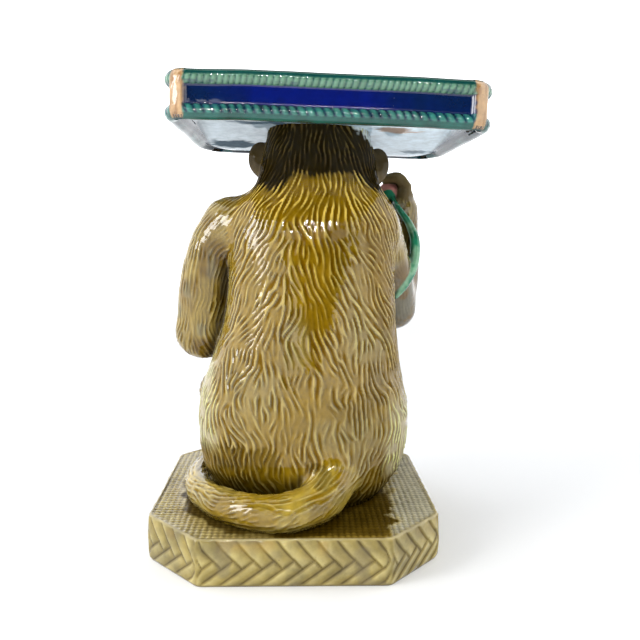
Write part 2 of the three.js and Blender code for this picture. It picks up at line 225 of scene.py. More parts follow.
def groups(P):
    """Distance to each group of the figure's forms."""
    g = {}
    g["trunk"] = trunk(P)
    g["head"] = ball(P, [-23, -11, 386], [59, 54, 56])
    g["cheeks"] = np.minimum(ball(P, [XC + 30, -42, 368], [20, 21, 23]), ball(P, [XC - 30, -42, 368], [20, 21, 23]))
    f = ball(P, [XC, -67, 361], [29, 25, 20])
    f = smin(f, ball(P, [XC, -62, 345], [19, 18, 11]), 6)
    f = smin(f, chain(P, spline([[XC, -58, 396, 7], [XC, -68, 386, 6], [XC, -82, 376, 7.5]])), 8)
    f = smin(f, chain(P, [[XC - 7, -85, 373, 4.2], [XC, -88, 374, 5], [XC + 7, -85, 373, 4.2]]), 4)
    brow = chain(P, spline([[XC - 29, -48, 394, 6], [XC - 15, -58.5, 401.5, 7], [XC, -60, 398, 6], [XC + 15, -58.5, 401.5, 7], [XC + 29, -48, 394, 6]]))
    f = smin(f, brow, 7)
    g["face"] = f
    for s, n in ((1, "L"), (-1, "R")):
        c = [38, -5, 398] if s > 0 else [-84, -5, 393]
        r = [15.5, 6.5, 18.5] if s > 0 else [15, 6.5, 19.5]
        t = (0, 12 * s, -24 * s)
        e = ball(P, c, r, t)
        e = smin(e, ball(P, [c[0] - 2 * s, c[1] + 2, c[2] - 9], [9, 8, 11], t), 5)
        e = smax(e, -ball(P, [c[0] + 1.5 * s, c[1] - 7.5, c[2]], [r[0] * 0.68, r[1] * 1.0, r[2] * 0.70], t), 2.0)
        e = smin(e, ball(P, [c[0] - 1.0 * s, c[1] - 5, c[2] - 5], [4.5, 4.5, 7.5], t), 2)
        g["ear" + n] = e
    g["armL"] = smin(chain(P, ARM_L), chain(P, FORE_L), 7)
    g["armR"] = smin(chain(P, ARM_R), chain(P, FORE_R), 7)
    g["legL"] = smin(chain(P, THIGH_L), chain(P, SHIN_L), 9)
    g["legR"] = smin(chain(P, THIGH_R), chain(P, SHIN_R), 9)
    g["tail"] = chain(P, TAIL)
    h = ball(P, [43, -93, 211], [14, 17, 13], (0, 0, 30))
    for k in FINGERS_L:
        h = smin(h, chain(P, spline(k, 3)), 2.2)
    g["handL"] = h
    h = ball(P, [-125, -61, 362], [10.5, 14, 18], (0, 10, 0))
    for k in FINGERS_R:
        h = smin(h, chain(P, spline(k, 3)), 2.2)
    g["handR"] = h
    for s, n, x in ((1, "L", 74.0), (-1, "R", -96.0)):
        h = smin(ball(P, [x, -106, 57], [18, 27, 12]), ball(P, [x, -92, 60], [17, 18, 15]), 6)
        for i in range(4):
            u = (i - 1.2) * 10.5 * -s
            h = smin(h, chain(P, spline([[x + u * 0.7, -116, 57.5, 7.2], [x + u * 0.95, -129, 55.5, 6.4], [x + u * 1.04, -136.5, 52.5, 5.6]], 3)), 2.2)
        h = smin(h, chain(P, spline([[x - s * 14, -102, 57, 7.5], [x - s * 24, -114, 54.5, 6.8], [x - s * 29, -124, 53, 5.8]], 3)), 2.5)
        g["foot" + n] = h
    g["fruit"] = ball(P, [16, -96, 208], [28, 28, 27])
    g["berry"] = ball(P, [-108, -70, 367], [14.5, 15, 15])
    leaf = chain(P, LEAF_STEM)
    leaf = smin(leaf, ball(P, [-121, -82, 330], [10, 4.5, 24], (10, 8, 0)), 2)
    leaf = smin(leaf, ball(P, [-104, -80, 338], [9, 4.5, 21], (14, -22, 0)), 2)
    g["leaf"] = leaf
    eyes = np.minimum(ball(P, [XC + 14.5, -56.5, 387], [8.2] * 3), ball(P, [XC - 14.5, -56.5, 387], [8.2] * 3))
    g["eyes"] = eyes
    return g


def figure(P, want=False):
    g = groups(P)
    z = P[:, 2]
    d = smin(g["trunk"], g["head"], 20)
    d = smin(d, g["cheeks"], 8)
    d = smin(d, g["face"], 6)
    sock = smin(ball(P, [XC + 15, -68, 386.5], [10, 10, 7.5]), ball(P, [XC - 15, -68, 386.5], [10, 10, 7.5]), 1)
    d = smax(d, -sock, 4)
    lids = np.minimum(
        chain(P, spline([[XC + 6.5, -61.5, 386, 1.7], [XC + 14.5, -63.8, 392.5, 2.1], [XC + 22.5, -58.5, 386, 1.7]])),
        chain(P, spline([[XC - 6.5, -61.5, 386, 1.7], [XC - 14.5, -63.8, 392.5, 2.1], [XC - 22.5, -58.5, 386, 1.7]])))
    bags = np.minimum(
        chain(P, spline([[XC + 6.5, -61.5, 385, 1.5], [XC + 14.5, -63.5, 380.3, 1.8], [XC + 22.5, -58.5, 385, 1.5]])),
        chain(P, spline([[XC - 6.5, -61.5, 385, 1.5], [XC - 14.5, -63.5, 380.3, 1.8], [XC - 22.5, -58.5, 385, 1.5]])))
    d = smin(d, g["eyes"], 1.2)
    d = smin(d, np.minimum(lids, bags), 1.6)
    a = np.linspace(-1.25, 1.25, 11)
    mouth = np.stack([XC + 28.5 * np.sin(a), -67 - 24.6 * np.cos(a), 354.5 + 3.5 * np.sin(a) ** 2, np.full(11, 1.5)], 1)
    d = smax(d, -chain(P, mouth), 1.6)
    for s in (-1, 1):
        d = smax(d, -ball(P, [XC + s * 4.6, -91.5, 371], [2.6, 4.2, 2.3], (0, 0, 0)), 1.6)
    d = smin(d, g["earL"], 3)
    d = smin(d, g["earR"], 3)
    ks = 5 + 19 * step(282, 330, z)
    d = smin(d, g["armL"], ks)
    d = smin(d, g["armR"], ks)
    d = smin(d, g["legL"], 8)
    d = smin(d, g["legR"], 8)
    d = smin(d, g["tail"], 4 + 13 * step(2, -22, P[:, 0]) * step(60, 80, z))
    d = smin(d, g["fruit"], 1.5)
    d = smin(d, g["berry"], 1.5)
    d = smin(d, g["leaf"], 2.0)
    d = smin(d, g["handL"], 2.5)
    d = smin(d, g["handR"], 2.5)
    d = smin(d, g["footL"], 3.5)
    d = smin(d, g["footR"], 3.5)
    return (d, g) if want else d


def cut_floor(P):
    return BASE_H + JOINT - P[:, 2]


CUSHION_N = np.array([-math.sin(CUSHION_CANT), 0, math.cos(CUSHION_CANT)])
HEAD_PLANE = np.array([CUSHION_X, CUSHION_Y, CUSHION_TOP]) - CUSHION_N * (CUSHION_TOP - CUSHION_UNDER + JOINT)


def underside(x, y):
    """Height of the cushion's underside below its top, in its own frame."""
    y = np.asarray(y, float)
    return np.clip(-29.5 + 0.115 * (y - 22), -42.8, -29.0)


def cut_head(P):
    """Distance above the cushion's underside."""
    Q = P - np.array([CUSHION_X, CUSHION_Y, CUSHION_TOP])
    h = Q @ CUSHION_N
    return h - underside(Q[:, 0], Q[:, 1]) - 0.8


def body(P):
    return np.maximum(np.maximum(figure(P), cut_floor(P)), cut_head(P))


# ------------------------------------------------------------------ surface nets
def surface(f, lo, hi, h, coarse=6):
    lo = np.array(lo, float)
    H = h * coarse
    nc = np.ceil((np.array(hi) - lo) / H).astype(int) + 1
    ax = [lo[k] + H * np.arange(nc[k] + 1) for k in range(3)]
    G = np.stack(np.meshgrid(*ax, indexing="ij"), -1).reshape(-1, 3)
    dc = f(G).reshape(nc + 1)
    n = nc * coarse + 1
    D = np.repeat(np.repeat(np.repeat(np.where(dc < 0, -1.0, 1.0), coarse, 0), coarse, 1), coarse, 2)[: n[0], : n[1], : n[2]].astype(np.float32)
    # coarse cells that the surface can cross
    m = np.full(nc, 1e9)
    for a in (0, 1):
        for b in (0, 1):
            for c in (0, 1):
                m = np.minimum(m, np.abs(dc[a:a + nc[0], b:b + nc[1], c:c + nc[2]]))
    cells = np.argwhere(m < H * 1.1)
    mark = np.zeros(n, bool)
    for i, j, k in cells:
        mark[i * coarse:(i + 1) * coarse + 1, j * coarse:(j + 1) * coarse + 1, k * coarse:(k + 1) * coarse + 1] = True
    idx = np.argwhere(mark)
    vals = np.empty(len(idx), np.float32)
    for s in range(0, len(idx), 400000):
        vals[s:s + 400000] = f(lo + idx[s:s + 400000] * h)
    vals[vals == 0] = 1e-4
    D[mark] = vals
    S = D < 0
    tot = np.zeros(np.array(S.shape) - 1, np.int8)
    for a in (0, 1):
        for b in (0, 1):
            for c in (0, 1):
                tot += S[a:S.shape[0] - 1 + a, b:S.shape[1] - 1 + b, c:S.shape[2] - 1 + c]
    act = (tot > 0) & (tot < 8)
    ii = np.argwhere(act)
    num = np.full(act.shape, -1, np.int64)
    num[act] = np.arange(len(ii))
    acc = np.zeros((len(ii), 3))
    cnt = np.zeros(len(ii))
    cs = [(a, b, c) for a in (0, 1) for b in (0, 1) for c in (0, 1)]
    for p in cs:
        for q in cs:
            if sum(abs(u - v) for u, v in zip(p, q)) == 1 and p < q:
                d0 = D[ii[:, 0] + p[0], ii[:, 1] + p[1], ii[:, 2] + p[2]]
                d1 = D[ii[:, 0] + q[0], ii[:, 1] + q[1], ii[:, 2] + q[2]]
                m = (d0 < 0) != (d1 < 0)
                t = d0[m] / (d0[m] - d1[m])
                acc[m] += np.array(p) + t[:, None] * (np.array(q) - np.array(p))
                cnt[m] += 1
    V = lo + (ii + acc / cnt[:, None]) * h
    F = []
    for axis in range(3):
        o1, o2 = [(1, 2), (2, 0), (0, 1)][axis]
        A = np.moveaxis(S, axis, 0)
        flip = A[:-1] != A[1:]
        flip = np.moveaxis(flip, 0, axis)
        e = np.argwhere(flip)
        e = e[(e[:, o1] > 0) & (e[:, o2] > 0) & (e[:, o1] < S.shape[o1] - 1) & (e[:, o2] < S.shape[o2] - 1)]
        q = []
        for s1, s2 in ((1, 1), (0, 1), (0, 0), (1, 0)):
            c = e.copy()
            c[:, o1] -= s1
            c[:, o2] -= s2
            q.append(num[c[:, 0], c[:, 1], c[:, 2]])
        q = np.stack(q, 1)
        inside = S[e[:, 0], e[:, 1], e[:, 2]]
        q[~inside] = q[~inside][:, ::-1]
        F.append(q)
    F = np.concatenate(F)
    F = F[(F >= 0).all(1)]
    return V, F


def gradient(f, P, d0=None, e=0.35):
    if d0 is None:
        d0 = f(P)
    g = np.stack([f(P + np.array(s)) - d0 for s in ((e, 0, 0), (0, e, 0), (0, 0, e))], 1) / e
    return d0, g


def make_mesh(name, V, F, colour=None, height=None, smooth=True, scale=MM):
    me = bpy.data.meshes.new(name)
    V = np.asarray(V, float) * scale
    F = np.asarray(F)
    me.vertices.add(len(V))
    me.vertices.foreach_set("co", V.astype(np.float32).ravel())
    k = F.shape[1]
    me.loops.add(F.size)
    me.loops.foreach_set("vertex_index", F.astype(np.int32).ravel())
    me.polygons.add(len(F))
    me.polygons.foreach_set("loop_start", np.arange(0, F.size, k, dtype=np.int32))
    me.update(calc_edges=True)
    me.validate()
    if colour is not None:
        paint(me, colour, height)
    me.polygons.foreach_set("use_smooth", np.full(len(me.polygons), smooth))
    me.update()
    ob = bpy.data.objects.new(name, me)
    bpy.context.scene.collection.objects.link(ob)
    return ob


def paint(me, colour, height=None, skin=None):
    a = me.color_attributes.get("glaze") or me.color_attributes.new("glaze", "FLOAT_COLOR", "POINT")
    c = np.ones((len(me.vertices), 4), np.float32)
    c[:, :min(4, colour.shape[1])] = np.clip(colour[:, :4], 0, 1)
    a.data.foreach_set("color", c.ravel())
    if colour.shape[1] == 8:
        b = me.color_attributes.new("crest", "FLOAT_COLOR", "POINT")
        b.data.foreach_set("color", np.ascontiguousarray(colour[:, 4:], np.float32).ravel())
    me.color_attributes.active_color = me.color_attributes["glaze"]
    if height is not None:
        b = me.attributes.get("relief") or me.attributes.new("relief", "FLOAT", "POINT")
        b.data.foreach_set("value", np.asarray(height, np.float32))
    if skin is not None:
        b = me.attributes.get("skin") or me.attributes.new("skin", "FLOAT_VECTOR", "POINT")
        b.data.foreach_set("vector", np.asarray(skin, np.float32).ravel())


# ------------------------------------------------------------------ fur
rng = np.random.default_rng(7)


def axis_of(P, pts):
    """Direction of the nearest piece of a chain."""
    pts = np.asarray(pts, float)
    best = np.full(len(P), 1e9)
    out = np.zeros((len(P), 3))
    for a, b in zip(pts[:-1], pts[1:]):
        ab = b[:3] - a[:3]
        L = ab @ ab
        t = np.clip(((P - a[:3]) @ ab) / L, 0, 1)
        v = P - a[:3] - t[:, None] * ab
        d = (v * v).sum(1)
        m = d < best
        best[m] = d[m]
        out[m] = ab / math.sqrt(L)
    return out


def combing(P, g):
    """The way the hair lies at P, not yet laid on the surface."""
    z = P[:, 2]
    xs = (P[:, 0] + 14) / 92.0
    back = step(-10, 40, P[:, 1])
    side = 0.75 * step(200, 250, z) * (1 - step(350, 372, z)) * xs + 0.35 * step(345, 372, z) * xs
    side += 0.22 * step(120, 200, z) * (1 - step(200, 250, z)) * xs
    low = 1 - step(70, 150, z)
    side += -0.75 * low * np.clip(xs + 0.25, 0, 1.4) - 0.1 * low * np.minimum(xs, 0)
    v = np.stack([side, 0.15 * (1 - 2 * back) * step(380, 300, z), -np.ones(len(P))], 1)
    v = unit(v)
    w = np.ones(len(P)) * 1.0
    out = v.copy()
    for key, lines in (("armL", (ARM_L, FORE_L)), ("armR", (ARM_R, FORE_R)), ("legL", (THIGH_L, SHIN_L)), ("legR", (THIGH_R, SHIN_R)), ("tail", (TAIL,))):
        d = g[key] - np.minimum(g["trunk"], g["head"])
        k = step(4, -4, d)
        m = k > 0.01
        if not m.any():
            continue
        if len(lines) == 2:
            a1, a2 = axis_of(P[m], lines[0]), axis_of(P[m], lines[1])
            c1, c2 = chain(P[m], lines[0]), chain(P[m], lines[1])
            t = step(-5, 5, c1 - c2)[:, None]
            a = a1 * (1 - t) + a2 * t
        else:
            a = axis_of(P[m], lines[0])
        out[m] = out[m] * (1 - k[m][:, None]) + a * k[m][:, None]
    return unit(out)


def elbow(P, g):
    """The forearm and elbow on the raised side, glazed smooth."""
    return step(3, -3, g["armR"] - g["trunk"]) * step(300, 280, P[:, 2] + 0.4 * (P[:, 0] + 110))


def furry(P, g):
    """How much the fur is carved: 1 on the coat, 0 on bare skin, fruit and leaves."""
    d_face = ball(P, [XC, -66, 375], [33, 38, 33])
    k = step(-3, 6, d_face) * (1 - 0.85 * elbow(P, g))
    d = np.minimum.reduce([g["trunk"], g["head"], g["armL"], g["armR"], g["legL"], g["legR"], g["tail"], g["cheeks"]])
    for key, soft in (("earL", 2.5), ("earR", 2.5), ("handL", 3), ("handR", 3), ("footL", 3), ("footR", 3), ("fruit", 1.5), ("berry", 1.5), ("leaf", 1.5), ("eyes", 2)):
        k = k * step(-soft, soft, g[key] - d)
    return k


def pairs_within(A, B, r):
    """Index pairs (a, b) of points in A and B closer than about r."""
    lo = np.minimum(A.min(0), B.min(0)) - r
    dims = np.ceil((np.maximum(A.max(0), B.max(0)) - lo) / r).astype(np.int64) + 3
    ca = ((A - lo) / r).astype(np.int64) + 1
    cb = ((B - lo) / r).astype(np.int64) + 1
    kb = (cb[:, 0] * dims[1] + cb[:, 1]) * dims[2] + cb[:, 2]
    order = np.argsort(kb, kind="stable")
    kb = kb[order]
    for dx in (-1, 0, 1):
        for dy in (-1, 0, 1):
            # the three cells in a z column are one run
            k0 = ((ca[:, 0] + dx) * dims[1] + ca[:, 1] + dy) * dims[2] + ca[:, 2] - 1
            s = np.searchsorted(kb, k0, "left")
            e = np.searchsorted(kb, k0 + 2, "right")
            c = e - s
            if c.sum() == 0:
                continue
            ia = np.repeat(np.arange(len(A)), c)
            off = np.arange(c.sum()) - np.repeat(np.cumsum(c) - c, c)
            ib = order[np.repeat(s, c) + off]
            yield ia, ib


def carve(P, N, T, pitch, rounds=5):
    """Evenly spaced, waving ridges that run along T: an oriented filter is
    applied to noise again and again, until neighbouring strands part, merge
    and end of their own accord."""
    B = np.cross(N, T)
    P, N, T, B = (a.astype(np.float32) for a in (P, N, T, B))
    pitch = pitch.astype(np.float32)
    reach = float(pitch.max()) * 1.2
    runs = []
    for ia, ib in pairs_within(P, P, reach):
        for c0 in range(0, len(ia), 4000000):
            ja, jb = ia[c0:c0 + 4000000], ib[c0:c0 + 4000000]
            q = P[jb] - P[ja]
            al = (q * T[ja]).sum(1)
            ac = (q * B[ja]).sum(1)
            lam = pitch[ja]
            r2 = (al * al + ac * ac) / (lam * lam)
            m = (r2 < 1.44) & ((N[ja] * N[jb]).sum(1) > 0.35)
            ja, jb, al, ac, lam = ja[m], jb[m], al[m], ac[m], lam[m]
            al /= lam
            ac /= lam
            w = np.exp(-al * al / (2 * 0.66 ** 2) - ac * ac / (2 * 0.40 ** 2)) * np.cos(6.2832 * ac)
            runs.append((ja.astype(np.int32), jb.astype(np.int32), w.astype(np.float32)))
    h = rng.standard_normal(len(P)).astype(np.float32)
    for k in range(rounds):
        out = np.zeros(len(P))
        for ja, jb, w in runs:
            out += np.bincount(ja, w * h[jb], minlength=len(P))
        h = (out / max(out.std(), 1e-6)).astype(np.float32)
        h = np.tanh(1.25 * h)
    return h


def build_monkey():
    V, F = surface(body, (-152, -148, 40), (138, 140, 438), FUR_CELL)
    # onto the surface exactly
    for _ in range(2):
        d, G = gradient(figure, V)
        n = np.maximum((G * G).sum(1), 0.2)
        flat = (cut_floor(V) > -1.2) | (cut_head(V) > -1.2)
        stepv = G * (d / n)[:, None]
        stepv[flat] = 0
        V = V - np.clip(stepv, -0.8, 0.8)
    d, g = figure(V, True)
    _, G = gradient(figure, V, d)
    N = unit(G)
    coat = furry(V, g)
    limb = step(3, -3, np.minimum(np.minimum(g["armL"], g["armR"]), g["tail"]) - np.minimum(g["trunk"], g["head"]))
    neck = step(318, 365, V[:, 2])
    T = combing(V, g)
    T = unit(T - N * (T * N).sum(1)[:, None])
    bend = 0.60 * noise(V * np.array([0.70, 0.70, 1.10]), 17, 3) + (0.32 + 0.20 * step(250, 190, V[:, 2])) * noise(V, 9.0, 4)
    bend = bend * (1 - 0.25 * limb)
    T = T * np.cos(bend)[:, None] + np.cross(N, T) * np.sin(bend)[:, None]
    pitch = 5.9 - 1.1 * np.maximum(neck, limb) + 1.0 * noise(V, 17, 5)
    on = np.where((coat > 0.02) & (cut_floor(V) < -0.3))[0]
    h = np.zeros(len(V))
    h[on] = carve(V[on], N[on], T[on], pitch[on])
    # strands fade in and out along their length
    fade = 0.74 + 0.85 * noise(V * np.array([1.1, 1.1, 0.75]), 8.0, 12)
    relief = np.clip(0.5 + 0.56 * h * np.clip(fade, 0.15, 1.15), 0, 1)
    deep = (1.60 - 0.35 * neck) * (1 - 0.45 * limb + 0.30 * step(3, -3, g["tail"] - g["trunk"])) * (1 + 0.25 * noise(V, 28, 6))
    W = V + N * ((relief ** 1.4 - 0.5) * deep * coat)[:, None]
    # hand-made unevenness
    W = W + N * (0.5 * noise(V, 34, 11))[:, None]
    # the two flat joints stay flat
    z0 = BASE_H + JOINT
    W[:, 2] = np.maximum(W[:, 2], z0)
    over = cut_head(W)
    W = W - np.maximum(over, 0)[:, None] * CUSHION_N
    # closeness of other forms: glaze pooled in the creases, and painted shade there
    crease_pool_and_shade = np.zeros(len(V))
    for s in (5.0, 12.0, 24.0):
        crease_pool_and_shade += np.clip((s - np.minimum(figure(V + N * s), (V + N * s)[:, 2] - BASE_H)) / s, 0, 1) / 3
    col = glaze_figure(V, N, g, relief, coat, crease_pool_and_shade)
    part = np.argmin([np.minimum(g["trunk"], g["head"]), np.minimum.reduce([g["armL"], g["armR"], g["handL"], g["handR"], g["fruit"], g["berry"], g["leaf"]]),
                      np.minimum.reduce([g["legL"], g["legR"], g["tail"], g["footL"], g["footR"]])], 0)
    part = np.where(part == 0, np.where(V[:, 1] > 10, 0, 3), part)
    return W, F, col, relief * coat + (1 - coat) * 0.7, N, part


def mix(a, b, t):
    return a * (1 - t[:, None]) + b * t[:, None]


def glaze_figure(V, N, g, relief, coat, crease_pool_and_shade):
    n1 = noise(V, 46, 21)
    n2 = noise(V, 15, 22)
    n3 = noise(V, 4.0, 23)
    one = np.ones((len(V), 1))
    limb = step(3, -3, np.minimum(np.minimum(g["armL"], g["armR"]), g["tail"]) - np.minimum(g["trunk"], g["head"]))
    amber = one * np.array([0.206, 0.124, 0.0030])
    c = amber * (1 + 0.10 * n1 + 0.06 * n3)[:, None]
    # thicker, darker glaze here and there
    pool = step(0.15, 0.75, n1 + 0.25 * n2) * (1 - limb)
    c = c * (1 - 0.30 * pool)[:, None]
    # painted reflection: a pale veil over the lower back, in cloudy patches
    reflection_veil = step(0.0, 0.8, noise(V * np.array([1.0, 1.0, 0.7]), 30, 27)) * step(300, 240, V[:, 2])
    c = mix(c, one * np.array([0.225, 0.163, 0.046]), 0.60 * reflection_veil)
    # both hips, where the back draws in over the plinth: a darker amber with less gloss, painted reflection of the dark
    # plinth
    low = V[:, 2] + 3.5 * n2 + 5.0 * (relief - 0.5) + 2.0 * n3
    hip_dark_reflection = step(35, 50, V[:, 1]) * np.maximum(step(117, 113, low) * step(12, 20, V[:, 0] + 5 * n2), step(103, 98, low + 0.45 * (V[:, 0] + 95)) * step(-30, -42, V[:, 0] + 5 * n2))
    hip_dark_reflection = np.maximum(hip_dark_reflection, step(1.5, -1.5, ball(V, [-23, 99, 87], [14, 24, 16]) + 3 * n2 + 2 * n3))
    hip_dark_reflection = hip_dark_reflection * np.maximum(step(1, 5, g["tail"] - g["trunk"]), step(-14, -20, V[:, 0]) * step(66, 74, V[:, 2]))
    c = mix(c, one * np.array([0.118, 0.070, 0.0018]) * (1 + 0.3 * n2)[:, None], 0.9 * hip_dark_reflection)
    # painted shade low on the back, beside the plinth and away from the tail
    c = c * (1 - 0.55 * step(84, 56, V[:, 2]) * step(30, 45, V[:, 1]) * step(0, 4, g["tail"] - g["trunk"]))[:, None]
    # painted reflection: a pale veil on both flanks
    flank_reflection = np.maximum(step(74, 88, V[:, 0] + 5 * n2 + 2 * n3) * step(98, 116, V[:, 2]) * step(215, 195, V[:, 2]),
                       step(-84, -100, V[:, 0] + 5 * n2 + 2 * n3) * step(70, 84, V[:, 2]) * step(170, 140, V[:, 2])) * (1 - limb)
    c = mix(c, one * np.array([0.400, 0.350, 0.210]), 0.60 * flank_reflection * step(-20, 28, V[:, 1] + 9 * n2 + 3 * n3))
    # painted shadow of the cushion: above a ragged line the head and nape are darkened to a deep blue-brown
    cushion_shadow = step(376, 381, V[:, 2] + 3.5 * n2 - 9.0 * (relief - 0.5) + 1.5 * n3 + 15 * step(26, 54, np.abs(V[:, 0] + 28)))
    c = c * mix(one, one * np.array([0.075, 0.078, 0.26]), cushion_shadow)
    # arms and tail are more olive, with grey streaks
    olive = mix(one * np.array([0.240, 0.172, 0.040]), one * np.array([0.105, 0.058, 0.0020]), step(0.0, 0.55, noise(V * np.array([1.0, 0.8, 0.7]), 23, 28) + 0.35 * n2))
    grey = one * np.array([0.150, 0.142, 0.085])
    streak = step(0.25, 0.7, noise(V * np.array([1.0, 1.0, 0.55]), 11, 24)) * limb
    c = mix(c, olive * (1.0 + 0.2 * n2)[:, None], 0.75 * limb * (1 - 0.4 * step(3, -3, g["tail"] - g["trunk"])))
    c = mix(c, grey, 0.45 * streak * (1 - 0.75 * step(3, -3, g["tail"] - g["trunk"])))
    tl = step(3, -3, g["tail"] - g["trunk"])
    # the tail is paler, and paler still where it faces up: painted light on its upper side
    c = c * (1 + tl * (0.16 + 0.40 * step(0.1, 0.8, N[:, 2]) + 0.22 * n2 + 0.10 * n3))[:, None] * mix(one, one * np.array([0.99, 1.05, 1.05]), tl)
    skin = one * np.array([0.250, 0.170, 0.072]) * (1 + 0.10 * n2)[:, None]
    c = mix(c, skin, 1 - coat)
    el = elbow(V, g)
    shin = step(3, -3, np.minimum.reduce([g["legL"], g["legR"], g["footL"], g["footR"]]) - np.minimum(g["trunk"], g["armR"]))[:, None]
    mottle = (one * np.array([0.112, 0.108, 0.078])) * (1 - shin) + one * np.array([0.200, 0.142, 0.052]) * shin
    c = mix(c, mix(mottle, one * np.array([0.105, 0.060, 0.012]), step(0.0, 0.6, n2 + 0.3 * n3)), 0.85 * el)
    base = np.minimum.reduce([g["trunk"], g["head"], g["armL"], g["armR"], g["legL"], g["legR"], g["tail"], g["cheeks"], g["face"], g["handL"], g["handR"]])

    def on(key, soft=0.8):
        return step(soft, -soft, g[key] - base)

    ear = np.maximum(on("earL"), on("earR"))
    c = mix(c, mix(one * np.array([0.080, 0.056, 0.020]), one * np.array([0.026, 0.018, 0.005]), step(380, 394, V[:, 2] + 3 * n2)), 0.9 * ear)
    hand = np.maximum(step(1.5, -1.5, g["handR"] - g["armR"]), step(1.5, -1.5, g["handL"] - g["armL"])) * step(3, 0, np.minimum(g["handR"], g["handL"]))
    c = mix(c, one * np.array([0.115, 0.085, 0.036]) * (1 + 0.15 * n2)[:, None], 0.85 * hand)
    fruit = mix(one * np.array([0.430, 0.150, 0.020]), one * np.array([0.330, 0.225, 0.030]), step(-0.5, 0.6, n1 + 0.4 * n2))
    c = mix(c, fruit, on("fruit"))
    c = mix(c, one * np.array([0.470, 0.190, 0.150]) * (1 + 0.1 * n2)[:, None], on("berry"))
    leaf = mix(one * np.array([0.012, 0.170, 0.085]), one * np.array([0.150, 0.330, 0.190]), step(0.1, 0.8, n2 + 0.4 * n3))
    c = mix(c, leaf, on("leaf"))
    c = mix(c, one * np.array([0.014, 0.008, 0.005]), step(0.5, -0.5, g["eyes"] - 0.3) * step(0.8, -0.4, g["eyes"] - base))
    # painted shade, with darker pooled glaze, where other forms are close
    c = c * (1 - 0.62 * step(0.22, 0.80, crease_pool_and_shade))[:, None]
    # glaze that ran from the joint
    drip = chain(V, [[-60, 36, 430, 7], [-74, 26, 424, 8], [-82, 10, 416, 6]])
    drip = step(1.5, -1.0, drip + 3.5 * n3 + 3.0 * n2)
    c = mix(c, one * np.array([0.62, 0.68, 0.68]) * (1 + 0.3 * n3)[:, None], 0.9 * drip)
    # thin glaze on the crests of the strands, and less gloss in the shade of the cushion
    bare = np.maximum.reduce([1 - coat, ear, drip])
    up = mix(mix(one * np.array([1.95, 2.35, 1.0]), one * np.array([1.65, 1.80, 1.0]), limb), one * np.array([4.2, 4.2, 1.0]), cushion_shadow)
    up = up * mix(one, one * np.array([1.6, 1.75, 1.0]), cushion_shadow * step(392, 408, V[:, 2] + 8 * n2))
    up = 1 + (up - 1) * (1 - 0.30 * step(250, 190, V[:, 2]) * (0.6 + 0.8 * reflection_veil))[:, None]
    # painted light on the nape band: much paler crests, and the colour under them slightly darker
    up = up * (1 + 0.72 * step(325, 350, V[:, 2]) * (1 - cushion_shadow) * (1 - limb))[:, None]
    c = c * (1 - 0.08 * step(325, 350, V[:, 2]) * (1 - cushion_shadow))[:, None]
    top = np.minimum(c * up, 0.62)
    top[:, 2] = 0.6 * c[:, 2] + 0.22 * top[:, 1]
    top = mix(top, c, bare)
    # painted reflection of dark surroundings: the glaze looks clear, without a veil, down the middle of the back, on
    # the right flank and on the nape, darker and with less gloss
    x, z = V[:, 0] + 4.0 * n2 + 2.0 * n3 - 3.0 * (relief - 0.5), V[:, 2] + 5.0 * n2
    left = np.interp(z, [188, 253, 323, 345], [-17, -7, 10, 28])
    right = np.interp(z, [188, 219, 293, 345], [-19, -32, -36, -55])
    clear_dark_reflection = step(2, -2, x - left) * step(-2, 2, x - right) * step(186, 194, z)
    clear_dark_reflection = np.maximum(clear_dark_reflection, 0.85 * step(2, -2, x - np.interp(z, [180, 330], [-90, -62])) * step(178, 188, z) * step(-122, -112, x))
    clear_dark_reflection = np.maximum(clear_dark_reflection, 0.8 * step(332, 346, z)) * (1 - limb) * (1 - cushion_shadow) * step(-18, 22, V[:, 1] + 9 * n2 + 3 * n3)
    top = top * (1 - clear_dark_reflection[:, None] * np.array([0.00, 0.04, 0.25]))
    c = c * (1 - clear_dark_reflection[:, None] * np.array([0.16, 0.22, 0.50]))
    wet = (1 - 0.80 * cushion_shadow) * (1 - 0.72 * hip_dark_reflection) * (1 - 0.48 * clear_dark_reflection)
    return np.concatenate([np.clip(c, 0, 1), wet[:, None], top, one], 1)


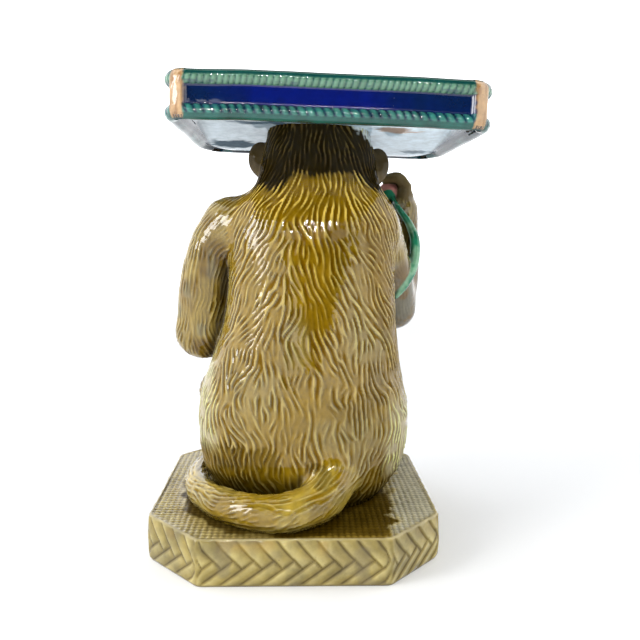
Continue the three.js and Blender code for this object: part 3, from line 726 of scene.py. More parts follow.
def glaze_material(name, rough, ior, bump, speck, tint, hollow, fill=0.0):
    """Coloured body under a clear, wet-looking glaze: the body takes the
    carving's shading, the glaze lies smoother over it."""
    m = bpy.data.materials.new(name)
    m.use_nodes = True
    nt = m.node_tree
    b = nt.nodes["Principled BSDF"]
    a = nt.nodes.new("ShaderNodeAttribute")
    a.attribute_name = "glaze"
    tc = nt.nodes.new("ShaderNodeTexCoord")
    # cloudy variation in the glaze's thickness, and fine iron specks
    n1 = nt.nodes.new("ShaderNodeTexNoise")
    n1.inputs["Scale"].default_value = 95
    n1.inputs["Detail"].default_value = 5
    n1.inputs["Roughness"].default_value = 0.65
    nt.links.new(tc.outputs["Object"], n1.inputs["Vector"])
    r1 = nt.nodes.new("ShaderNodeMapRange")
    r1.inputs["From Min"].default_value = 0.3
    r1.inputs["From Max"].default_value = 0.7
    r1.inputs["To Min"].default_value = 0.80
    r1.inputs["To Max"].default_value = 1.18
    nt.links.new(n1.outputs["Fac"], r1.inputs["Value"])
    mul = nt.nodes.new("ShaderNodeVectorMath")
    mul.operation = "SCALE"
    ra = nt.nodes.new("ShaderNodeAttribute")
    ra.attribute_name = "relief"
    if fill:
        # strands: pale crests, darker in the hollows
        ca = nt.nodes.new("ShaderNodeAttribute")
        ca.attribute_name = "crest"
        kr = nt.nodes.new("ShaderNodeMapRange")
        kr.interpolation_type = "SMOOTHSTEP"
        kr.inputs["From Min"].default_value = 0.50
        kr.inputs["From Max"].default_value = 0.98
        nt.links.new(ra.outputs["Fac"], kr.inputs["Value"])
        cm = nt.nodes.new("ShaderNodeMix")
        cm.data_type = "RGBA"
        nt.links.new(kr.outputs["Result"], cm.inputs["Factor"])
        nt.links.new(a.outputs["Color"], cm.inputs["A"])
        nt.links.new(ca.outputs["Color"], cm.inputs["B"])
        kd = nt.nodes.new("ShaderNodeMapRange")
        kd.inputs["From Min"].default_value = 0.02
        kd.inputs["From Max"].default_value = 0.38
        nt.links.new(ra.outputs["Fac"], kd.inputs["Value"])
        deep = nt.nodes.new("ShaderNodeVectorMath")
        deep.operation = "MULTIPLY"
        deep.inputs[1].default_value = (0.69, 0.58, 0.24)
        nt.links.new(cm.outputs["Result"], deep.inputs[0])
        cd_ = nt.nodes.new("ShaderNodeMix")
        cd_.data_type = "RGBA"
        nt.links.new(kd.outputs["Result"], cd_.inputs["Factor"])
        nt.links.new(deep.outputs["Vector"], cd_.inputs["A"])
        nt.links.new(cm.outputs["Result"], cd_.inputs["B"])
        nt.links.new(cd_.outputs["Result"], mul.inputs[0])
    else:
        nt.links.new(a.outputs["Color"], mul.inputs[0])
    nt.links.new(r1.outputs["Result"], mul.inputs["Scale"])
    v = nt.nodes.new("ShaderNodeTexVoronoi")
    v.inputs["Scale"].default_value = 240
    nt.links.new(tc.outputs["Object"], v.inputs["Vector"])
    n2 = nt.nodes.new("ShaderNodeTexNoise")
    n2.inputs["Scale"].default_value = 60
    nt.links.new(tc.outputs["Object"], n2.inputs["Vector"])
    r2 = nt.nodes.new("ShaderNodeMapRange")
    r2.inputs["From Min"].default_value = 0.16
    r2.inputs["From Max"].default_value = 0.06
    nt.links.new(v.outputs["Distance"], r2.inputs["Value"])
    r3 = nt.nodes.new("ShaderNodeMapRange")
    r3.inputs["From Min"].default_value = 0.52
    r3.inputs["From Max"].default_value = 0.68
    r3.inputs["To Max"].default_value = speck
    nt.links.new(n2.outputs["Fac"], r3.inputs["Value"])
    f = nt.nodes.new("ShaderNodeMath")
    f.operation = "MULTIPLY"
    nt.links.new(r2.outputs["Result"], f.inputs[0])
    nt.links.new(r3.outputs["Result"], f.inputs[1])
    mx = nt.nodes.new("ShaderNodeMix")
    mx.data_type = "RGBA"
    mx.inputs["B"].default_value = (*tint, 1)
    nt.links.new(f.outputs["Value"], mx.inputs["Factor"])
    nt.links.new(mul.outputs["Vector"], mx.inputs["A"])
    nt.links.new(mx.outputs["Result"], b.inputs["Base Color"])
    b.inputs["Roughness"].default_value = 0.42
    b.inputs["IOR"].default_value = 1.45
    b.inputs["Specular IOR Level"].default_value = 0.0
    b.inputs["Coat Weight"].default_value = 1.0
    b.inputs["Coat Roughness"].default_value = rough
    b.inputs["Coat IOR"].default_value = ior
    # hollows are shaded from the surroundings, ridges are not
    rc = nt.nodes.new("ShaderNodeMapRange")
    rc.inputs["From Min"].default_value = 0.06 if fill else 0.0
    rc.inputs["From Max"].default_value = 0.48
    rc.inputs["To Min"].default_value = hollow
    rc.inputs["To Max"].default_value = 1.0
    # the carving under the glaze
    bp = nt.nodes.new("ShaderNodeBump")
    bp.inputs["Strength"].default_value = 1.0
    bp.inputs["Distance"].default_value = bump
    hp = nt.nodes.new("ShaderNodeMath")
    hp.operation = "POWER"
    hp.inputs[1].default_value = 1.8
    nt.links.new(ra.outputs["Fac"], hp.inputs[0])
    nt.links.new(hp.outputs["Value"], bp.inputs["Height"])
    nt.links.new(ra.outputs["Fac"], rc.inputs["Value"])
    wt = nt.nodes.new("ShaderNodeMath")
    wt.operation = "MULTIPLY"
    nt.links.new(rc.outputs["Result"], wt.inputs[0])
    nt.links.new(a.outputs["Alpha"], wt.inputs[1])
    nt.links.new(wt.outputs["Value"], b.inputs["Coat Weight"])
    nt.links.new(bp.outputs["Normal"], b.inputs["Normal"])
    # a faint ripple on the glaze itself
    n4 = nt.nodes.new("ShaderNodeTexNoise")
    n4.inputs["Scale"].default_value = 130
    n4.inputs["Detail"].default_value = 2
    nt.links.new(tc.outputs["Object"], n4.inputs["Vector"])
    b2 = nt.nodes.new("ShaderNodeBump")
    b2.inputs["Strength"].default_value = 0.25
    b2.inputs["Distance"].default_value = 0.0004
    nt.links.new(n4.outputs["Fac"], b2.inputs["Height"])
    if fill:
        # glaze fills the carving: its own surface is smoother than the body's
        sk = nt.nodes.new("ShaderNodeAttribute")
        sk.attribute_name = "skin"
        ge = nt.nodes.new("ShaderNodeNewGeometry")
        nm = nt.nodes.new("ShaderNodeMix")
        nm.data_type = "VECTOR"
        nm.inputs["Factor"].default_value = fill
        nt.links.new(ge.outputs["Normal"], nm.inputs[4])
        nt.links.new(sk.outputs["Vector"], nm.inputs[5])
        no = nt.nodes.new("ShaderNodeVectorMath")
        no.operation = "NORMALIZE"
        nt.links.new(nm.outputs[1], no.inputs[0])
        nt.links.new(no.outputs["Vector"], b2.inputs["Normal"])
    nt.links.new(b2.outputs["Normal"], b.inputs["Coat Normal"])
    return m


# ------------------------------------------------------------------ plinth
def octagon_points(n, blunt=15.0):
    """Points round the plinth's outline: x, y, the outward normal, the way
    along the side from its middle and the distance to the side's end."""
    h, c = BASE_W / 2, BASE_CHAMFER
    P = np.array([(h - c, -h), (h, -h + c), (h, h - c), (h - c, h), (-h + c, h), (-h, h - c), (-h, -h + c), (-h + c, -h)], float)
    cut = blunt * math.tan(math.radians(22.5))
    lens = [math.dist(P[i], P[(i + 1) % 8]) for i in range(8)]
    arc = blunt * math.pi / 4
    per = sum(L - 2 * cut for L in lens) + 8 * arc
    out = []
    for i in range(8):
        L = lens[i]
        a, b = P[i], P[(i + 1) % 8]
        d = (b - a) / L
        nrm = np.array([d[1], -d[0]])
        d2 = (P[(i + 2) % 8] - b) / lens[(i + 1) % 8]
        run = L - 2 * cut
        k = max(2, int(round(n * run / per)))
        for s in range(k):
            u = cut + run * s / k
            out.append([*(a + d * u), *nrm, u - L / 2, L / 2 - abs(u - L / 2)])
        k = max(2, int(round(n * arc / per)))
        a0 = math.atan2(nrm[1], nrm[0])
        cc = b - d * cut - nrm * blunt
        for s in range(k):
            t = s / k
            an = a0 + t * math.pi / 4
            w = np.array([math.cos(an), math.sin(an)])
            u = (L / 2 - cut + t * arc * 2) if t < 0.5 else (-lens[(i + 1) % 8] / 2 + cut - (1 - t) * arc * 2)
            out.append([*(cc + blunt * w), *w, u, abs(t - 0.5) * arc])
    return np.array(out)


PITCH, LEAN_UP, LEAN_LOW, SEAM = 18.4, 0.87, 1.30, 21.8


def plait_seam(u):
    """Height of the zigzag where the two rows of strips butt."""
    fall = LEAN_UP / (LEAN_UP + LEAN_LOW)
    s = (u / PITCH) % 1.0
    amp = PITCH / (LEAN_UP + LEAN_LOW)
    return SEAM + amp * np.where(s < fall, 0.5 - s / fall, (s - fall) / (1 - fall) - 0.5)


def plait(u, z):
    """Relief of the herringbone on a side; u runs to the right for an outside
    viewer, z up. Each row's strips end on the edges of the other row's."""
    fall = LEAN_UP / (LEAN_UP + LEAN_LOW)
    seam = plait_seam(u)
    up = z > seam
    dz = z - SEAM
    bow = 1.2 * np.sin(np.pi * np.clip((z - SEAM) / 24, 0, 1))
    a = np.where(up, u + dz * LEAN_UP + bow, u - dz * LEAN_LOW)
    f0 = np.where(up, fall / 2, (1 + fall) / 2)
    g = a / PITCH - f0
    f = g % 1.0
    lean = np.where(up, LEAN_UP, LEAN_LOW)
    edge = np.minimum(f, 1 - f) * PITCH / np.sqrt(1 + lean * lean)
    end = np.abs(z - seam) * 0.68
    gap = np.minimum(edge, end + 0.2)
    body = 1 - np.exp(-(gap / 1.7) ** 1.5)
    return body, 0.5 - f, np.floor(g) + 100 * up


def build_plinth():
    n = 760
    O = octagon_points(n)
    m = len(O)
    XY, NR, u, end = O[:, :2], O[:, 2:4], O[:, 4], O[:, 5]
    lo_z = [0.0, 0.0, 0.5, 1.2, 2.0]
    side_z = np.linspace(3.0, 43.8, 39)
    rows, cols = [], []
    for i, z in enumerate([*lo_z, *side_z, 44.5, 45.2, 45.7, 46.0]):
        P3 = np.stack([XY[:, 0], XY[:, 1], np.full(m, float(z))], 1)
        body, tilt, num = plait(u, np.full(m, float(z)))
        hold = step(0.0, 4.0, z) * step(46.4, 43.2, z)
        v = (z - 2.0) / 43.0
        belly = -1.0 * (2 * v - 1) ** 2 if z >= 2 else -1.0
        foot = -2.6 * (1 - step(-2.0, 5.0, z)) ** 1.5
        if i == 0:
            foot -= 8
        shoulder = {44.5: -0.35, 45.2: -0.8, 45.7: -1.5, 46.0: -2.7}.get(round(float(z), 2), 0.0)
        corner = step(0.0, 3.0, end)
        each = 0.35 * (_hash(num.astype(np.int64), num.astype(np.int64) * 7, num.astype(np.int64) * 3, 9) - 0.5)
        off = belly + foot + shoulder + hold * corner * (1.3 * (body - 1) + body * (1.9 * tilt - 0.35 + each))
        off = off + 0.45 * noise(P3 + 300, 26, 5) * step(0, 3, z)
        off = np.minimum(off, 0.5)
        P3[:, :2] += NR * off[:, None]
        rows.append(P3)
        cols.append(np.stack([body * corner * hold + (1 - hold * corner) * 0.75, tilt * hold], 1))
    side_rows = len(rows)
    R = [r for r in np.arange(4.2, 114.0, 1.5)] + [120, 128, 137]
    for r in R:
        k = 1 - r / (BASE_W / 2)
        P3 = np.stack([XY[:, 0] * k, XY[:, 1] * k, np.full(m, 46.0)], 1)
        rows.append(P3)
        cols.append(np.stack([weave(P3), np.zeros(m)], 1))
    V = np.concatenate(rows)
    C, tilt = np.concatenate(cols).T
    nr = len(rows)
    top = np.arange(len(V)) >= side_rows * m
    # relief of the weave, drowned in glaze near the figure
    d = np.full(len(V), 60.0)
    Q = V[top].copy()
    Q[:, 2] = BASE_H + 3
    d[top] = figure(Q)
    drown = step(1, 16, d)
    edge_in = np.full(len(V), 99.0)
    edge_in[top] = np.repeat(np.array(R), m)
    V[top, 2] = 46.0 - 1.6 * (1 - C[top]) * (0.22 + 0.78 * drown[top]) * step(1.5, 7, edge_in[top]) - 0.2
    V[top, 2] -= 0.45 * step(18, 3, d[top])
    V[top, 2] = np.minimum(V[top, 2] + 0.25 * noise(V[top], 30, 8), 46.15)
    F = []
    j = np.arange(m)
    jn = (j + 1) % m
    for i in range(nr - 1):
        F.append(np.stack([i * m + j, i * m + jn, (i + 1) * m + jn, (i + 1) * m + j], 1))
    F = np.concatenate(F)
    V = np.vstack([V, [[0, 0, 45.8], [0, 0, 0]]])
    ct, cb = len(V) - 2, len(V) - 1
    T = np.stack([(nr - 1) * m + j, (nr - 1) * m + jn, np.full(m, ct)], 1)
    B = np.stack([jn, j, np.full(m, cb)], 1)
    mid = V[F].mean(1)
    ub = np.tile(u, nr - 1)[: len(F)]
    other = (mid[:, 2] > plait_seam(ub)) & (mid[:, 2] < 44)
    A, Z = F[~other], F[other]
    F3 = np.concatenate([A[:, [0, 1, 2]], A[:, [0, 2, 3]], Z[:, [0, 1, 3]], Z[:, [1, 2, 3]], T, B])
    C = np.concatenate([C, [0.5, 0.5]])
    tilt = np.concatenate([tilt, [0, 0]])
    d = np.concatenate([d, [0, 60]])
    edge_in = np.concatenate([edge_in, [99, 99]])
    top = np.concatenate([top, [True, False]])
    n1, n2, n3 = noise(V, 55, 31), noise(V, 13, 32), noise(V, 3.5, 33)
    t = np.clip(C + 0.10 * n2, 0, 1)
    one = np.ones((len(V), 1))
    groove = one * np.array([0.088, 0.058, 0.013])
    khaki = one * np.array([0.270, 0.202, 0.044])
    light = one * np.array([0.425, 0.350, 0.130])
    c = mix(groove, khaki, step(-0.1, 0.70, t))
    # painted highlight: the strips' crests are pale, more so on their raised side
    c = mix(c, light, np.clip(step(0.62, 0.95, t) * (0.45 + 1.6 * tilt + 0.3 * n2), 0, 1))
    c = c * (1 + 0.12 * n1 + 0.10 * n2 + 0.05 * n3)[:, None]
    side_m = ~top
    # brown breaks below the rim, and a pale line on the edges, where the glaze thins, with a painted highlight there
    c = mix(c, one * np.array([0.270, 0.165, 0.025]), side_m * 0.60 * step(0.0, 0.6, n2) * step(24, 44, V[:, 2]))
    c = mix(c, one * np.array([0.150, 0.120, 0.062]), side_m * 0.45 * step(0.25, 0.8, noise(V, 16, 34)))
    thin_rim_highlight = np.where(top, step(6.0, 3.5, edge_in), step(44.0, 45.6, V[:, 2]))
    c = mix(c, one * np.array([0.50, 0.42, 0.215]), 0.7 * thin_rim_highlight * (0.8 + 0.2 * n2))
    c = c * (1 - 0.09 * side_m * step(70, 120, V[:, 0]))[:, None]
    c = c * (1 - side_m * 0.24 * step(0.05, 0.6, noise(V, 19, 35)))[:, None]
    c = mix(c, one * np.array([0.12, 0.095, 0.04]), side_m * step(3.5, 0.3, V[:, 2]) * 0.8)
    # weave: light strands, brown gaps
    wc = mix(one * np.array([0.120, 0.083, 0.022]), one * np.array([0.400, 0.325, 0.125]), step(0.15, 0.9, t))
    wc = wc * (1.10 + 0.15 * n1 + 0.12 * n2)[:, None]
    inner = top * step(3.5, 8.0, edge_in)
    c = mix(c, wc, inner)
    # dark, clear glaze lies round the figure, with painted shade in the crevices there, and fills the side away from
    # the tail's tip as far as a ragged edge; beyond it the top is pale
    pool = step(1.0, 0.35, (d + 7 * n2 + 5 * n1) / 7.0) * inner
    rag = V[:, 0] + 9 * n2 + 3 * n3 - 0.12 * (V[:, 1] - 90)
    lake = step(-97, -92, rag) * step(26, 6, V[:, 0] + 6 * n2) * step(18, 40, V[:, 1] + 5 * n2)
    lake = lake * inner
    amber = mix(one * np.array([0.054, 0.031, 0.0010]), one * np.array([0.150, 0.094, 0.010]), step(18, 3, edge_in + 6 * n2))
    c = mix(c, amber * (0.75 + 0.6 * t)[:, None], lake * 0.97)
    # painted shade, with the dark pooled glaze, in the crevices round the figure
    c = mix(c, one * np.array([0.042, 0.023, 0.001]) * (0.7 + 0.8 * t)[:, None], pool * 0.94)
    warm = inner * (1 - pool) * (1 - lake) * step(22, 6, d + 12 * n1) * step(-30, 20, V[:, 1])
    c = mix(c, one * np.array([0.270, 0.190, 0.045]) * (0.6 + 0.6 * t)[:, None], warm * 0.6)
    brown = inner * step(112, 126, V[:, 1] + 8 * n2 + 3 * n3) * step(-0.35, 0.35, n2 + 0.5 * n1) * step(78, 55, V[:, 0]) * (1 - lake)
    c = mix(c, one * np.array([0.150, 0.098, 0.014]) * (0.6 + 0.6 * t)[:, None], brown * 0.45)
    far_side = inner * step(-96, -102, rag)
    c = mix(c, one * np.array([0.400, 0.385, 0.280]) * (0.55 + 0.6 * t)[:, None], far_side * 0.6)
    wet = (1 - 0.95 * lake) * (1 - 0.6 * pool)
    return V, F3, np.concatenate([np.clip(c, 0, 1), wet[:, None]], 1), C


def weave(P):
    """Fine basket weave, 0 in the gaps and 1 on the strands."""
    p = 5.8
    x, y = P[:, 0] + 0.8 * noise(P, 40, 41), P[:, 1] + 0.8 * noise(P, 40, 42)
    i, j = np.floor(x / p), np.floor(y / p)
    fx, fy = x / p - i, y / p - j
    a = np.abs(np.sin(np.pi * fx)) ** 0.6
    b = np.abs(np.sin(np.pi * fy)) ** 0.6
    par = (i + j) % 2 == 0
    return np.where(par, a * (0.45 + 0.55 * b), b * (0.45 + 0.55 * a) * 0.92)


# ------------------------------------------------------------------ cushion
def cushion_loop(n):
    """Points round the cushion: centre of curvature, normal, radius there,
    way round, and distance to the nearest strap along the edge. The two
    corners away from the back are rounder."""
    H0, H1 = CUSHION_W / 2, CUSHION_D / 2
    rad = [CUSHION_R, CUSHION_R, 44.0, 44.0]
    # corners in order: +X+Y, -X+Y, -X-Y, +X-Y; the loop starts on the +X side
    sx, sy = [1, -1, -1, 1], [1, 1, -1, -1]
    C = [np.array([sx[q] * (H0 - rad[q]), sy[q] * (H1 - rad[q])]) for q in range(4)]
    P0 = [C[q] + rad[q] * np.array([math.cos(q * math.pi / 2), math.sin(q * math.pi / 2)]) for q in range(4)]
    P1 = [C[q] + rad[q] * np.array([math.cos((q + 1) * math.pi / 2), math.sin((q + 1) * math.pi / 2)]) for q in range(4)]
    runs = []
    for q in range(4):
        runs.append(("line", P1[q - 1], P0[q], q))
        runs.append(("arc", None, None, q))
    lens = [float(np.linalg.norm(r[2] - r[1])) if r[0] == "line" else rad[r[3]] * math.pi / 2 for r in runs]
    per = sum(lens)
    ends = np.cumsum([0.0] + lens)
    straps = []
    for q in range(4):
        mid = (ends[2 * q + 1] + ends[2 * q + 2]) / 2
        straps.append(mid + (7.5 if q in (0, 2) else -7.5))
    out = []
    for k in range(n):
        s = per * k / n
        i = min(int(np.searchsorted(ends, s, "right") - 1), 7)
        t = (s - ends[i]) / lens[i]
        kind, a, b, q = runs[i]
        if kind == "line":
            p = a + (b - a) * t
            an = q * math.pi / 2
            nn = np.array([math.cos(an), math.sin(an)])
            r = 1e9
        else:
            an = (q + t) * math.pi / 2
            nn = np.array([math.cos(an), math.sin(an)])
            p = C[q] + rad[q] * nn
            r = rad[q]
        ds = min(min(abs(s - m), per - abs(s - m)) for m in straps)
        out.append([*p, *nn, s, ds, r, p[0]])
    return np.array(out), per


def build_cushion():
    n = 820
    L, per = cushion_loop(n)
    XY, NN, s, ds, rr = L[:, :2], L[:, 2:4], L[:, 4], L[:, 5], L[:, 6]
    T = CUSHION_TOP - CUSHION_UNDER
    rc, zu, zl = 6.9, -8.1, -36.6
    prof = []  # inset, height, kind, angle round the cord or place on the band
    for ins in (*range(112, 24, -5), 21, 17.5, 15.2):
        prof.append((ins, 0.0, 0, ins))
    for a in np.linspace(-152, 58, 25):
        prof.append((rc - rc * math.cos(math.radians(a)) + 0.2, zl + rc * math.sin(math.radians(a)), 1, a))
    zb0 = zl + rc * math.sin(math.radians(58)) + 0.5
    zb1 = zu - rc * math.sin(math.radians(58)) - 0.5
    for t in np.linspace(0, 1, 11):
        prof.append((4.5 - 0.30 * math.sin(math.pi * t), zb0 + (zb1 - zb0) * t, 2, t))
    for a in np.linspace(-58, 128, 21):
        prof.append((rc - rc * math.cos(math.radians(a)) + 0.2, zu + rc * math.sin(math.radians(a)), 3, a))
    for ins, z in ((12.8, -3.4), (14.5, -3.3), (17, -2.8), (21, -2.1), (27, -1.3), (36, -0.6), (48, -0.2), (66, 0.0), (90, 0.1)):
        prof.append((ins, z, 4, 0.0))
    rows, meta = [], []
    fc = step(9.5, 6.0, ds)
    wav = noise(np.stack([XY[:, 0], XY[:, 1], np.zeros(n)], 1), 62, 51)
    # the beads drift a little in size, as pressed by hand
    s1 = s + 2.2 * noise(np.stack([s, s * 0, s * 0], 1), 37, 55)
    for ins, z, kind, a in prof:
        h = np.zeros(n)
        tone = np.full(n, 0.5)
        if kind == 1:
            nb = round(per / 7.6)
            zone = float(step(-42, -8, a))
            bead = np.abs(np.sin(np.pi * (s1 / per * nb + (a - 20) / 150.0))) ** 0.75
            fine = np.abs(np.sin(np.pi * (s1 / 5.1 + a / 200.0)))
            line = math.exp(-((a + 26) / 10.0) ** 2)
            tone = zone * bead + (1 - zone) * (0.42 + 0.08 * fine)
            h = 1.0 * (bead - 0.8) * zone - 0.45 * line
            tone = tone * (1 - 0.5 * line)
        elif kind == 3:
            nb = round(per / 5.6)
            zone = float(step(30, -5, a))
            bead = np.abs(np.sin(np.pi * (s1 / per * nb - (a + 20) / 190.0))) ** 0.9
            line = math.exp(-((a - 26) / 9.0) ** 2)
            tone = zone * (0.25 + 0.75 * bead) + (1 - zone) * 0.45
            h = 0.6 * (bead - 0.8) * zone - 0.35 * line
            tone = tone * (1 - 0.45 * line)
        P = np.stack([XY[:, 0], XY[:, 1], np.full(n, float(z))], 1)
        inset = np.full(n, float(ins))
        if kind in (1, 2, 3):
            # straps: one rounded upright band over both cords
            zz = (z - (zu + zl) / 2) / 22.5
            out_s = 1.1 + 7.2 * abs(zz) ** 5 + 0.35 * (1 - np.abs(np.sin(np.pi * (ds / 3.1 + 0.25 * np.sin(z / 3.0)))) ** 0.6)
            cosa = math.cos(math.radians(a)) if kind in (1, 3) else 1.0
            base_in = inset - h * cosa
            inset = base_in * (1 - fc) + np.where(np.abs(zz) < 0.97, out_s - 1.7, base_in) * fc
            P[:, 2] += (h * math.sin(math.radians(a)) if kind in (1, 3) else 0) * (1 - fc)
            # corners draw in slightly
            P[:, 2] += 0.7 * wav
            inset = inset - 0.45 * noise(np.stack([P[:, 0], P[:, 1], P[:, 2] * 0.7], 1), 27, 52)
            P[:, :2] -= NN * inset[:, None]
        else:
            # rings towards the middle, straight from the outline's own centre
            far = np.array([CUSHION_W / 2, CUSHION_D / 2]) - 15
            kx = 1 - np.clip((inset - 15) / far[0], 0, 0.97)
            ky = 1 - np.clip((inset - 15) / far[1], 0, 0.97)
            edge = XY - NN * np.minimum(15.0, rr * 0.82)[:, None]
            if ins > 15:
                P[:, 0], P[:, 1] = edge[:, 0] * kx, edge[:, 1] * ky
            else:
                P[:, :2] = XY - NN * inset[:, None]
            if kind == 0:
                P[:, 2] = underside(P[:, 0], P[:, 1]) * 1.0
                fillet = step(20.5, 14.5, ins)
                P[:, 2] = P[:, 2] * (1 - fillet) + (zl + rc * math.sin(math.radians(-152)) ) * fillet
                P[:, 2] = np.minimum(P[:, 2], -20)
                P[:, 2] -= 1.5 * step(0, 60, ins - 15) * step(115, 60, ins)
                P[:, 2] += 0.25 * noise(P, 70, 57)
            else:
                P[:, 2] += 0.5 * wav * step(30, 12, ins)
        rows.append(P)
        meta.append(np.stack([np.full(n, float(kind)), tone, s, ds, np.full(n, float(a)), fc], 1))
    V = np.concatenate(rows)
    M = np.concatenate(meta)
    nr = len(rows)
    j = np.arange(n)
    jn = (j + 1) % n
    F = np.concatenate([np.stack([i * n + j, i * n + jn, (i + 1) * n + jn, (i + 1) * n + j], 1) for i in range(nr - 1)])
    V = np.vstack([V, [[0, 0, float(V[:n, 2].mean())], [0, 0, 0.1]]])
    M = np.vstack([M, [[0, 0, 0, 99, 0, 0], [4, 0, 0, 99, 0, 0]]])
    cb, ct = len(V) - 2, len(V) - 1
    F3 = np.concatenate([F[:, [0, 1, 2]], F[:, [0, 2, 3]],
                         np.stack([(nr - 1) * n + j, (nr - 1) * n + jn, np.full(n, ct)], 1),
                         np.stack([jn, j, np.full(n, cb)], 1)])
    kind, tone, s, ds, a, fc = M.T
    n1, n2, n3 = noise(V, 48, 61), noise(V, 11, 62), noise(V, 3.6, 63)
    one = np.ones((len(V), 1))
    cobalt = one * np.array([0.0010, 0.0060, 0.112])
    navy = one * np.array([0.0010, 0.0100, 0.050])
    middle = step(105, 30, np.abs(V[:, 0] - 14))
    c = mix(navy, cobalt, np.clip(middle * 1.0 + 0.35 * n1 + 0.12 * n2, 0, 1))
    deep = one * np.array([0.002, 0.016, 0.042])
    green = one * np.array([0.004, 0.072, 0.052])
    pale = one * np.array([0.075, 0.215, 0.135])
    low = kind == 1
    cord = mix(deep, green, step(0.08, 0.42, tone))
    cord = mix(cord, pale, step(0.62, 1.0, tone) * (0.70 + 0.3 * n2) * np.where(low, 1.0, 0.8))
    streak = step(0.1, 0.7, noise(V * np.array([0.35, 0.35, 1.0]), 9, 64))
    cord = mix(cord, one * np.array([0.001, 0.014, 0.055]), np.where(low, 0.25, 0.08) * streak)
    is_cord = (kind == 1) | (kind == 3)
    cord = np.where(low[:, None], mix(one * np.array([0.0006, 0.020, 0.046]), one * np.array([0.030, 0.182, 0.146]), step(0.40, 1.0, tone + 0.25 * n2)) * (0.85 + 0.3 * n2)[:, None], cord)
    cord = mix(cord, one * np.array([0.0015, 0.045, 0.030]), np.where(kind == 3, step(25, 55, a), 0.0) * 0.85)
    cord = mix(cord, one * np.array([0.16, 0.30, 0.19]), np.where(kind == 3, step(34, 0, a), 0.0) * 0.55 * step(0.3, 0.8, tone + 0.2 * n1))
    c = np.where(is_cord[:, None], cord, c)
    # painted reflection: the underside is a pale blue-grey, as the white floor seen in its glaze
    c = np.where((kind == 0)[:, None], one * np.array([0.430, 0.540, 0.625]) * (1 + 0.15 * n1 + 0.10 * n2)[:, None], c)
    under = (kind == 0) * 1.0
    painted_dark_reflection = np.zeros(len(V))
    # painted reflection, brighter towards -X
    c = c * (1 + under * 0.50 * step(30, -70, V[:, 0]))[:, None]
    # painted reflections: dark patches beside the head, where the figure is seen in the glaze, and one warm patch
    for (px, py, wx, wy, k) in ((66, 26, 34, 9, 0.85), (100, -64, 34, 17, 0.9), (-112, -70, 22, 7, 0.7), (-40, -84, 30, 8, 0.5), (20, -92, 34, 7, 0.5)):
        rr_ = np.sqrt(((V[:, 0] - px) / wx) ** 2 + ((V[:, 1] - py) / wy) ** 2) + 0.45 * n2 + 0.2 * n3
        painted_dark_reflection = np.maximum(painted_dark_reflection, under * k * step(1.05, 0.75, rr_))
    c = mix(c, one * np.array([0.016, 0.048, 0.080]), painted_dark_reflection)
    rr_ = np.sqrt(((V[:, 0] + 74) / 19) ** 2 + ((V[:, 1] - 14) / 11) ** 2) + 0.4 * n2 + 0.2 * n3
    c = mix(c, one * np.array([0.420, 0.250, 0.150]), under * 0.8 * step(1.05, 0.8, rr_))
    gap = (kind == 0) * step(22, 16, a)
    c = mix(c, one * np.array([0.003, 0.012, 0.045]), gap)
    tan = mix(one * np.array([0.440, 0.275, 0.135]), one * np.array([0.250, 0.130, 0.050]), step(0.0, 0.8, noise(V * np.array([1.0, 1.0, 0.3]), 3.2, 65)))
    strap = step(7.6, 5.2, ds + 1.5 * n2 + 1.2 * n3) * ((kind == 1) | (kind == 2) | (kind == 3))
    strap = strap * np.where(kind == 1, step(-75, -45, a + 12 * n2), 1.0) * np.where(kind == 3, step(95, 65, a + 12 * n2), 1.0)
    # the low cord's plain underside is a clear green, the band's glaze creeps over the cords
    c = mix(c, one * np.array([0.004, 0.085, 0.062]) * (1 + 0.3 * n2)[:, None], (kind == 1) * step(-8, -22, a) * step(-95, -75, a) * 0.8)
    creep = ((kind == 1) & (a > 30)) | ((kind == 3) & (a < -30))
    c = mix(c, one * np.array([0.001, 0.018, 0.060]), creep * step(0.1, 0.6, n2 + 0.5 * n3) * 0.5)
    c = mix(c, tan, strap)
    c = c * (1 + 0.06 * n3)[:, None]
    R = np.array(Matrix.Rotation(-CUSHION_CANT, 3, "Y"))
    V = V @ R.T + np.array([CUSHION_X, CUSHION_Y, CUSHION_TOP])
    return V, F3, np.concatenate([np.clip(c, 0, 1), (1 - 0.97 * painted_dark_reflection)[:, None]], 1), tone


# ------------------------------------------------------------------ pieces
def finish_piece(ob, node, mat):
    ob.data.materials.append(mat)
    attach(ob, "root")
    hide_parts(node)
    return ob


W, F, col, high, skin, part = build_monkey()
tri = np.concatenate([F[:, [0, 1, 2]], F[:, [0, 2, 3]]])
vn = np.zeros_like(W)
fn = np.cross(W[tri[:, 1]] - W[tri[:, 0]], W[tri[:, 2]] - W[tri[:, 0]])
for k in range(3):
    for q in range(3):
        vn[:, q] += np.bincount(tri[:, k], fn[:, q], minlength=len(W))
vn = unit(vn)
figure_mat = glaze_material("figure_glaze", 0.025, 1.6, 0.0018, 0.5, (0.05, 0.03, 0.012), 0.10, 0.78)
# one skin in four pieces, with the whole skin's normals along their edges
for k, name in enumerate(("monkey_back", "monkey_arms", "monkey_seat", "monkey_front")):
    f = F[part[F[:, 0]] == k]
    ids, f = np.unique(f, return_inverse=True)
    ob = make_mesh(name, W[ids], f.reshape(-1, 4))
    paint(ob.data, col[ids], high[ids], skin[ids])
    ob.data.normals_split_custom_set_from_vertices(vn[ids].tolist())
    finish_piece(ob, "monkey", figure_mat)

V, F, col, high = build_plinth()
plinth = make_mesh("base_glazed", V, F, col, high)
finish_piece(plinth, "base", glaze_material("plinth_glaze", 0.07, 1.55, 0.0006, 0.6, (0.06, 0.035, 0.01), 0.35))

V, F, col, high = build_cushion()
cushion = make_mesh("cushion_glazed", V, F, col, high)
finish_piece(cushion, "cushion", glaze_material("cushion_glaze", 0.03, 1.62, 0.0005, 0.35, (0.30, 0.34, 0.42), 0.8))

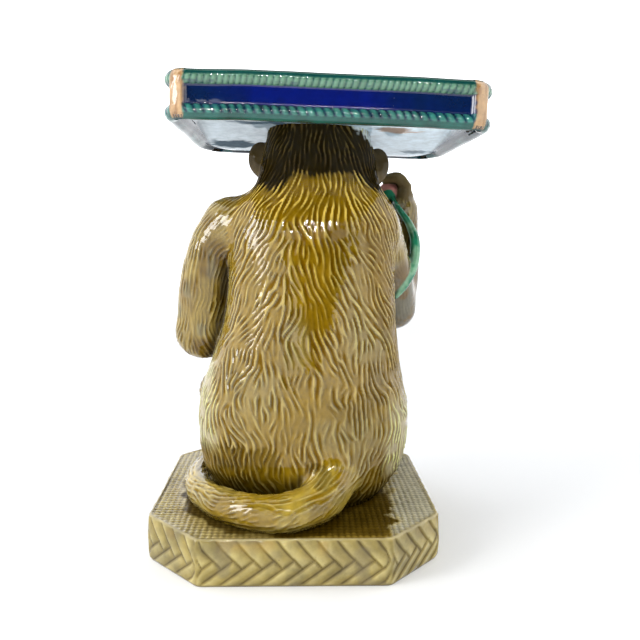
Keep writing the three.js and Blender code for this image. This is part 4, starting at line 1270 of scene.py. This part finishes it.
# ------------------------------------------------------------------ stage
def plain_material(name, colour, rough=0.6, glow=0.0):
    m = bpy.data.materials.new(name)
    m.use_nodes = True
    b = m.node_tree.nodes["Principled BSDF"]
    b.inputs["Base Color"].default_value = (*colour, 1)
    b.inputs["Roughness"].default_value = rough
    if glow:
        b.inputs["Emission Color"].default_value = (1, 1, 1, 1)
        b.inputs["Emission Strength"].default_value = glow
    return m


def quad(name, pts, mat):
    me = bpy.data.meshes.new(name)
    me.from_pydata([Vector(p) for p in pts], [], [tuple(range(len(pts)))])
    me.update()
    ob = bpy.data.objects.new(name, me)
    ob.data.materials.append(mat)
    bpy.context.scene.collection.objects.link(ob)
    return ob


floor = quad("floor", [(-12, -12, 0), (12, -12, 0), (12, 12, 0), (-12, 12, 0)], plain_material("floor", (0.9, 0.9, 0.9), 0.7))
dark = plain_material("dark_card", (0.012, 0.011, 0.010), 0.9)


def card(name, pts):
    ob = quad(name, pts, dark)
    ob.visible_camera = False
    return ob


# behind the camera: a dark card with its point downwards, and a dark ceiling
Y = 2.2
card("card_back", [(0.55, Y, 1.50), (-2.3, Y, 1.50), (-1.9, Y, 1.15), (-1.05, Y, 0.70), (-0.25, Y, 0.24), (0.12, Y, 0.24), (0.42, Y, 0.70), (0.95, Y, 0.80), (0.95, Y, 1.04), (0.52, Y, 1.10)])
card("card_roof", [(-2.6, 2.2, 1.86), (2.6, 2.2, 1.86), (2.6, 0.3, 3.0), (-2.6, 0.3, 3.0)])
card("card_front", [(-1.7, -Y, 1.5), (-0.05, -Y, 1.5), (-0.15, -Y, 0.35), (-0.9, -Y, 0.35)])
card("card_roof_front", [(-1.6, -2.2, 2.0), (1.6, -2.2, 2.0), (1.6, -0.6, 3.0), (-1.6, -0.6, 3.0)])

world = bpy.data.worlds.new("studio")
bpy.context.scene.world = world
world.use_nodes = True
bg = world.node_tree.nodes["Background"]
bg.inputs["Color"].default_value = (0.96, 0.98, 1.0, 1)
bg.inputs["Strength"].default_value = 1.86


def area(name, loc, aim, size, power, colour=(1, 1, 1)):
    li = bpy.data.lights.new(name, "AREA")
    li.shape = "RECTANGLE"
    li.size, li.size_y = size
    li.energy = power
    li.color = colour
    ob = bpy.data.objects.new(name, li)
    ob.location = loc
    ob.rotation_mode = "QUATERNION"
    ob.rotation_quaternion = (Vector(aim) - Vector(loc)).to_track_quat("-Z", "Y")
    ob.visible_camera = False
    bpy.context.scene.collection.objects.link(ob)
    return ob


area("strip", (0.05, 2.1, 1.66), (0, 0, 0.33), (0.95, 0.010), 22)
area("left", (1.9, 0.9, 1.2), (0, 0, 0.2), (0.8, 1.2), 29)

cd = bpy.data.cameras.new("camera")
cam = bpy.data.objects.new("camera", cd)
bpy.context.scene.collection.objects.link(cam)
yaw, pitch, roll = math.radians(-2.1), math.radians(7.3), math.radians(0.7)
fwd = np.array([math.sin(yaw) * math.cos(pitch), -math.cos(yaw) * math.cos(pitch), -math.sin(pitch)])
right = np.array([-math.cos(yaw), -math.sin(yaw), 0.0])
up = np.cross(right, fwd)
r2 = right * math.cos(roll) + up * math.sin(roll)
u2 = -right * math.sin(roll) + up * math.cos(roll)
M = Matrix(((r2[0], u2[0], -fwd[0], 0.0), (r2[1], u2[1], -fwd[1], 0.702), (r2[2], u2[2], -fwd[2], 0.318), (0, 0, 0, 1)))
cam.matrix_world = M
cd.sensor_width = 36
cd.lens = 36 * 650 / 640
cd.clip_start, cd.clip_end = 0.01, 50
bpy.context.scene.camera = cam
bpy.context.scene.view_settings.view_transform = "Standard"
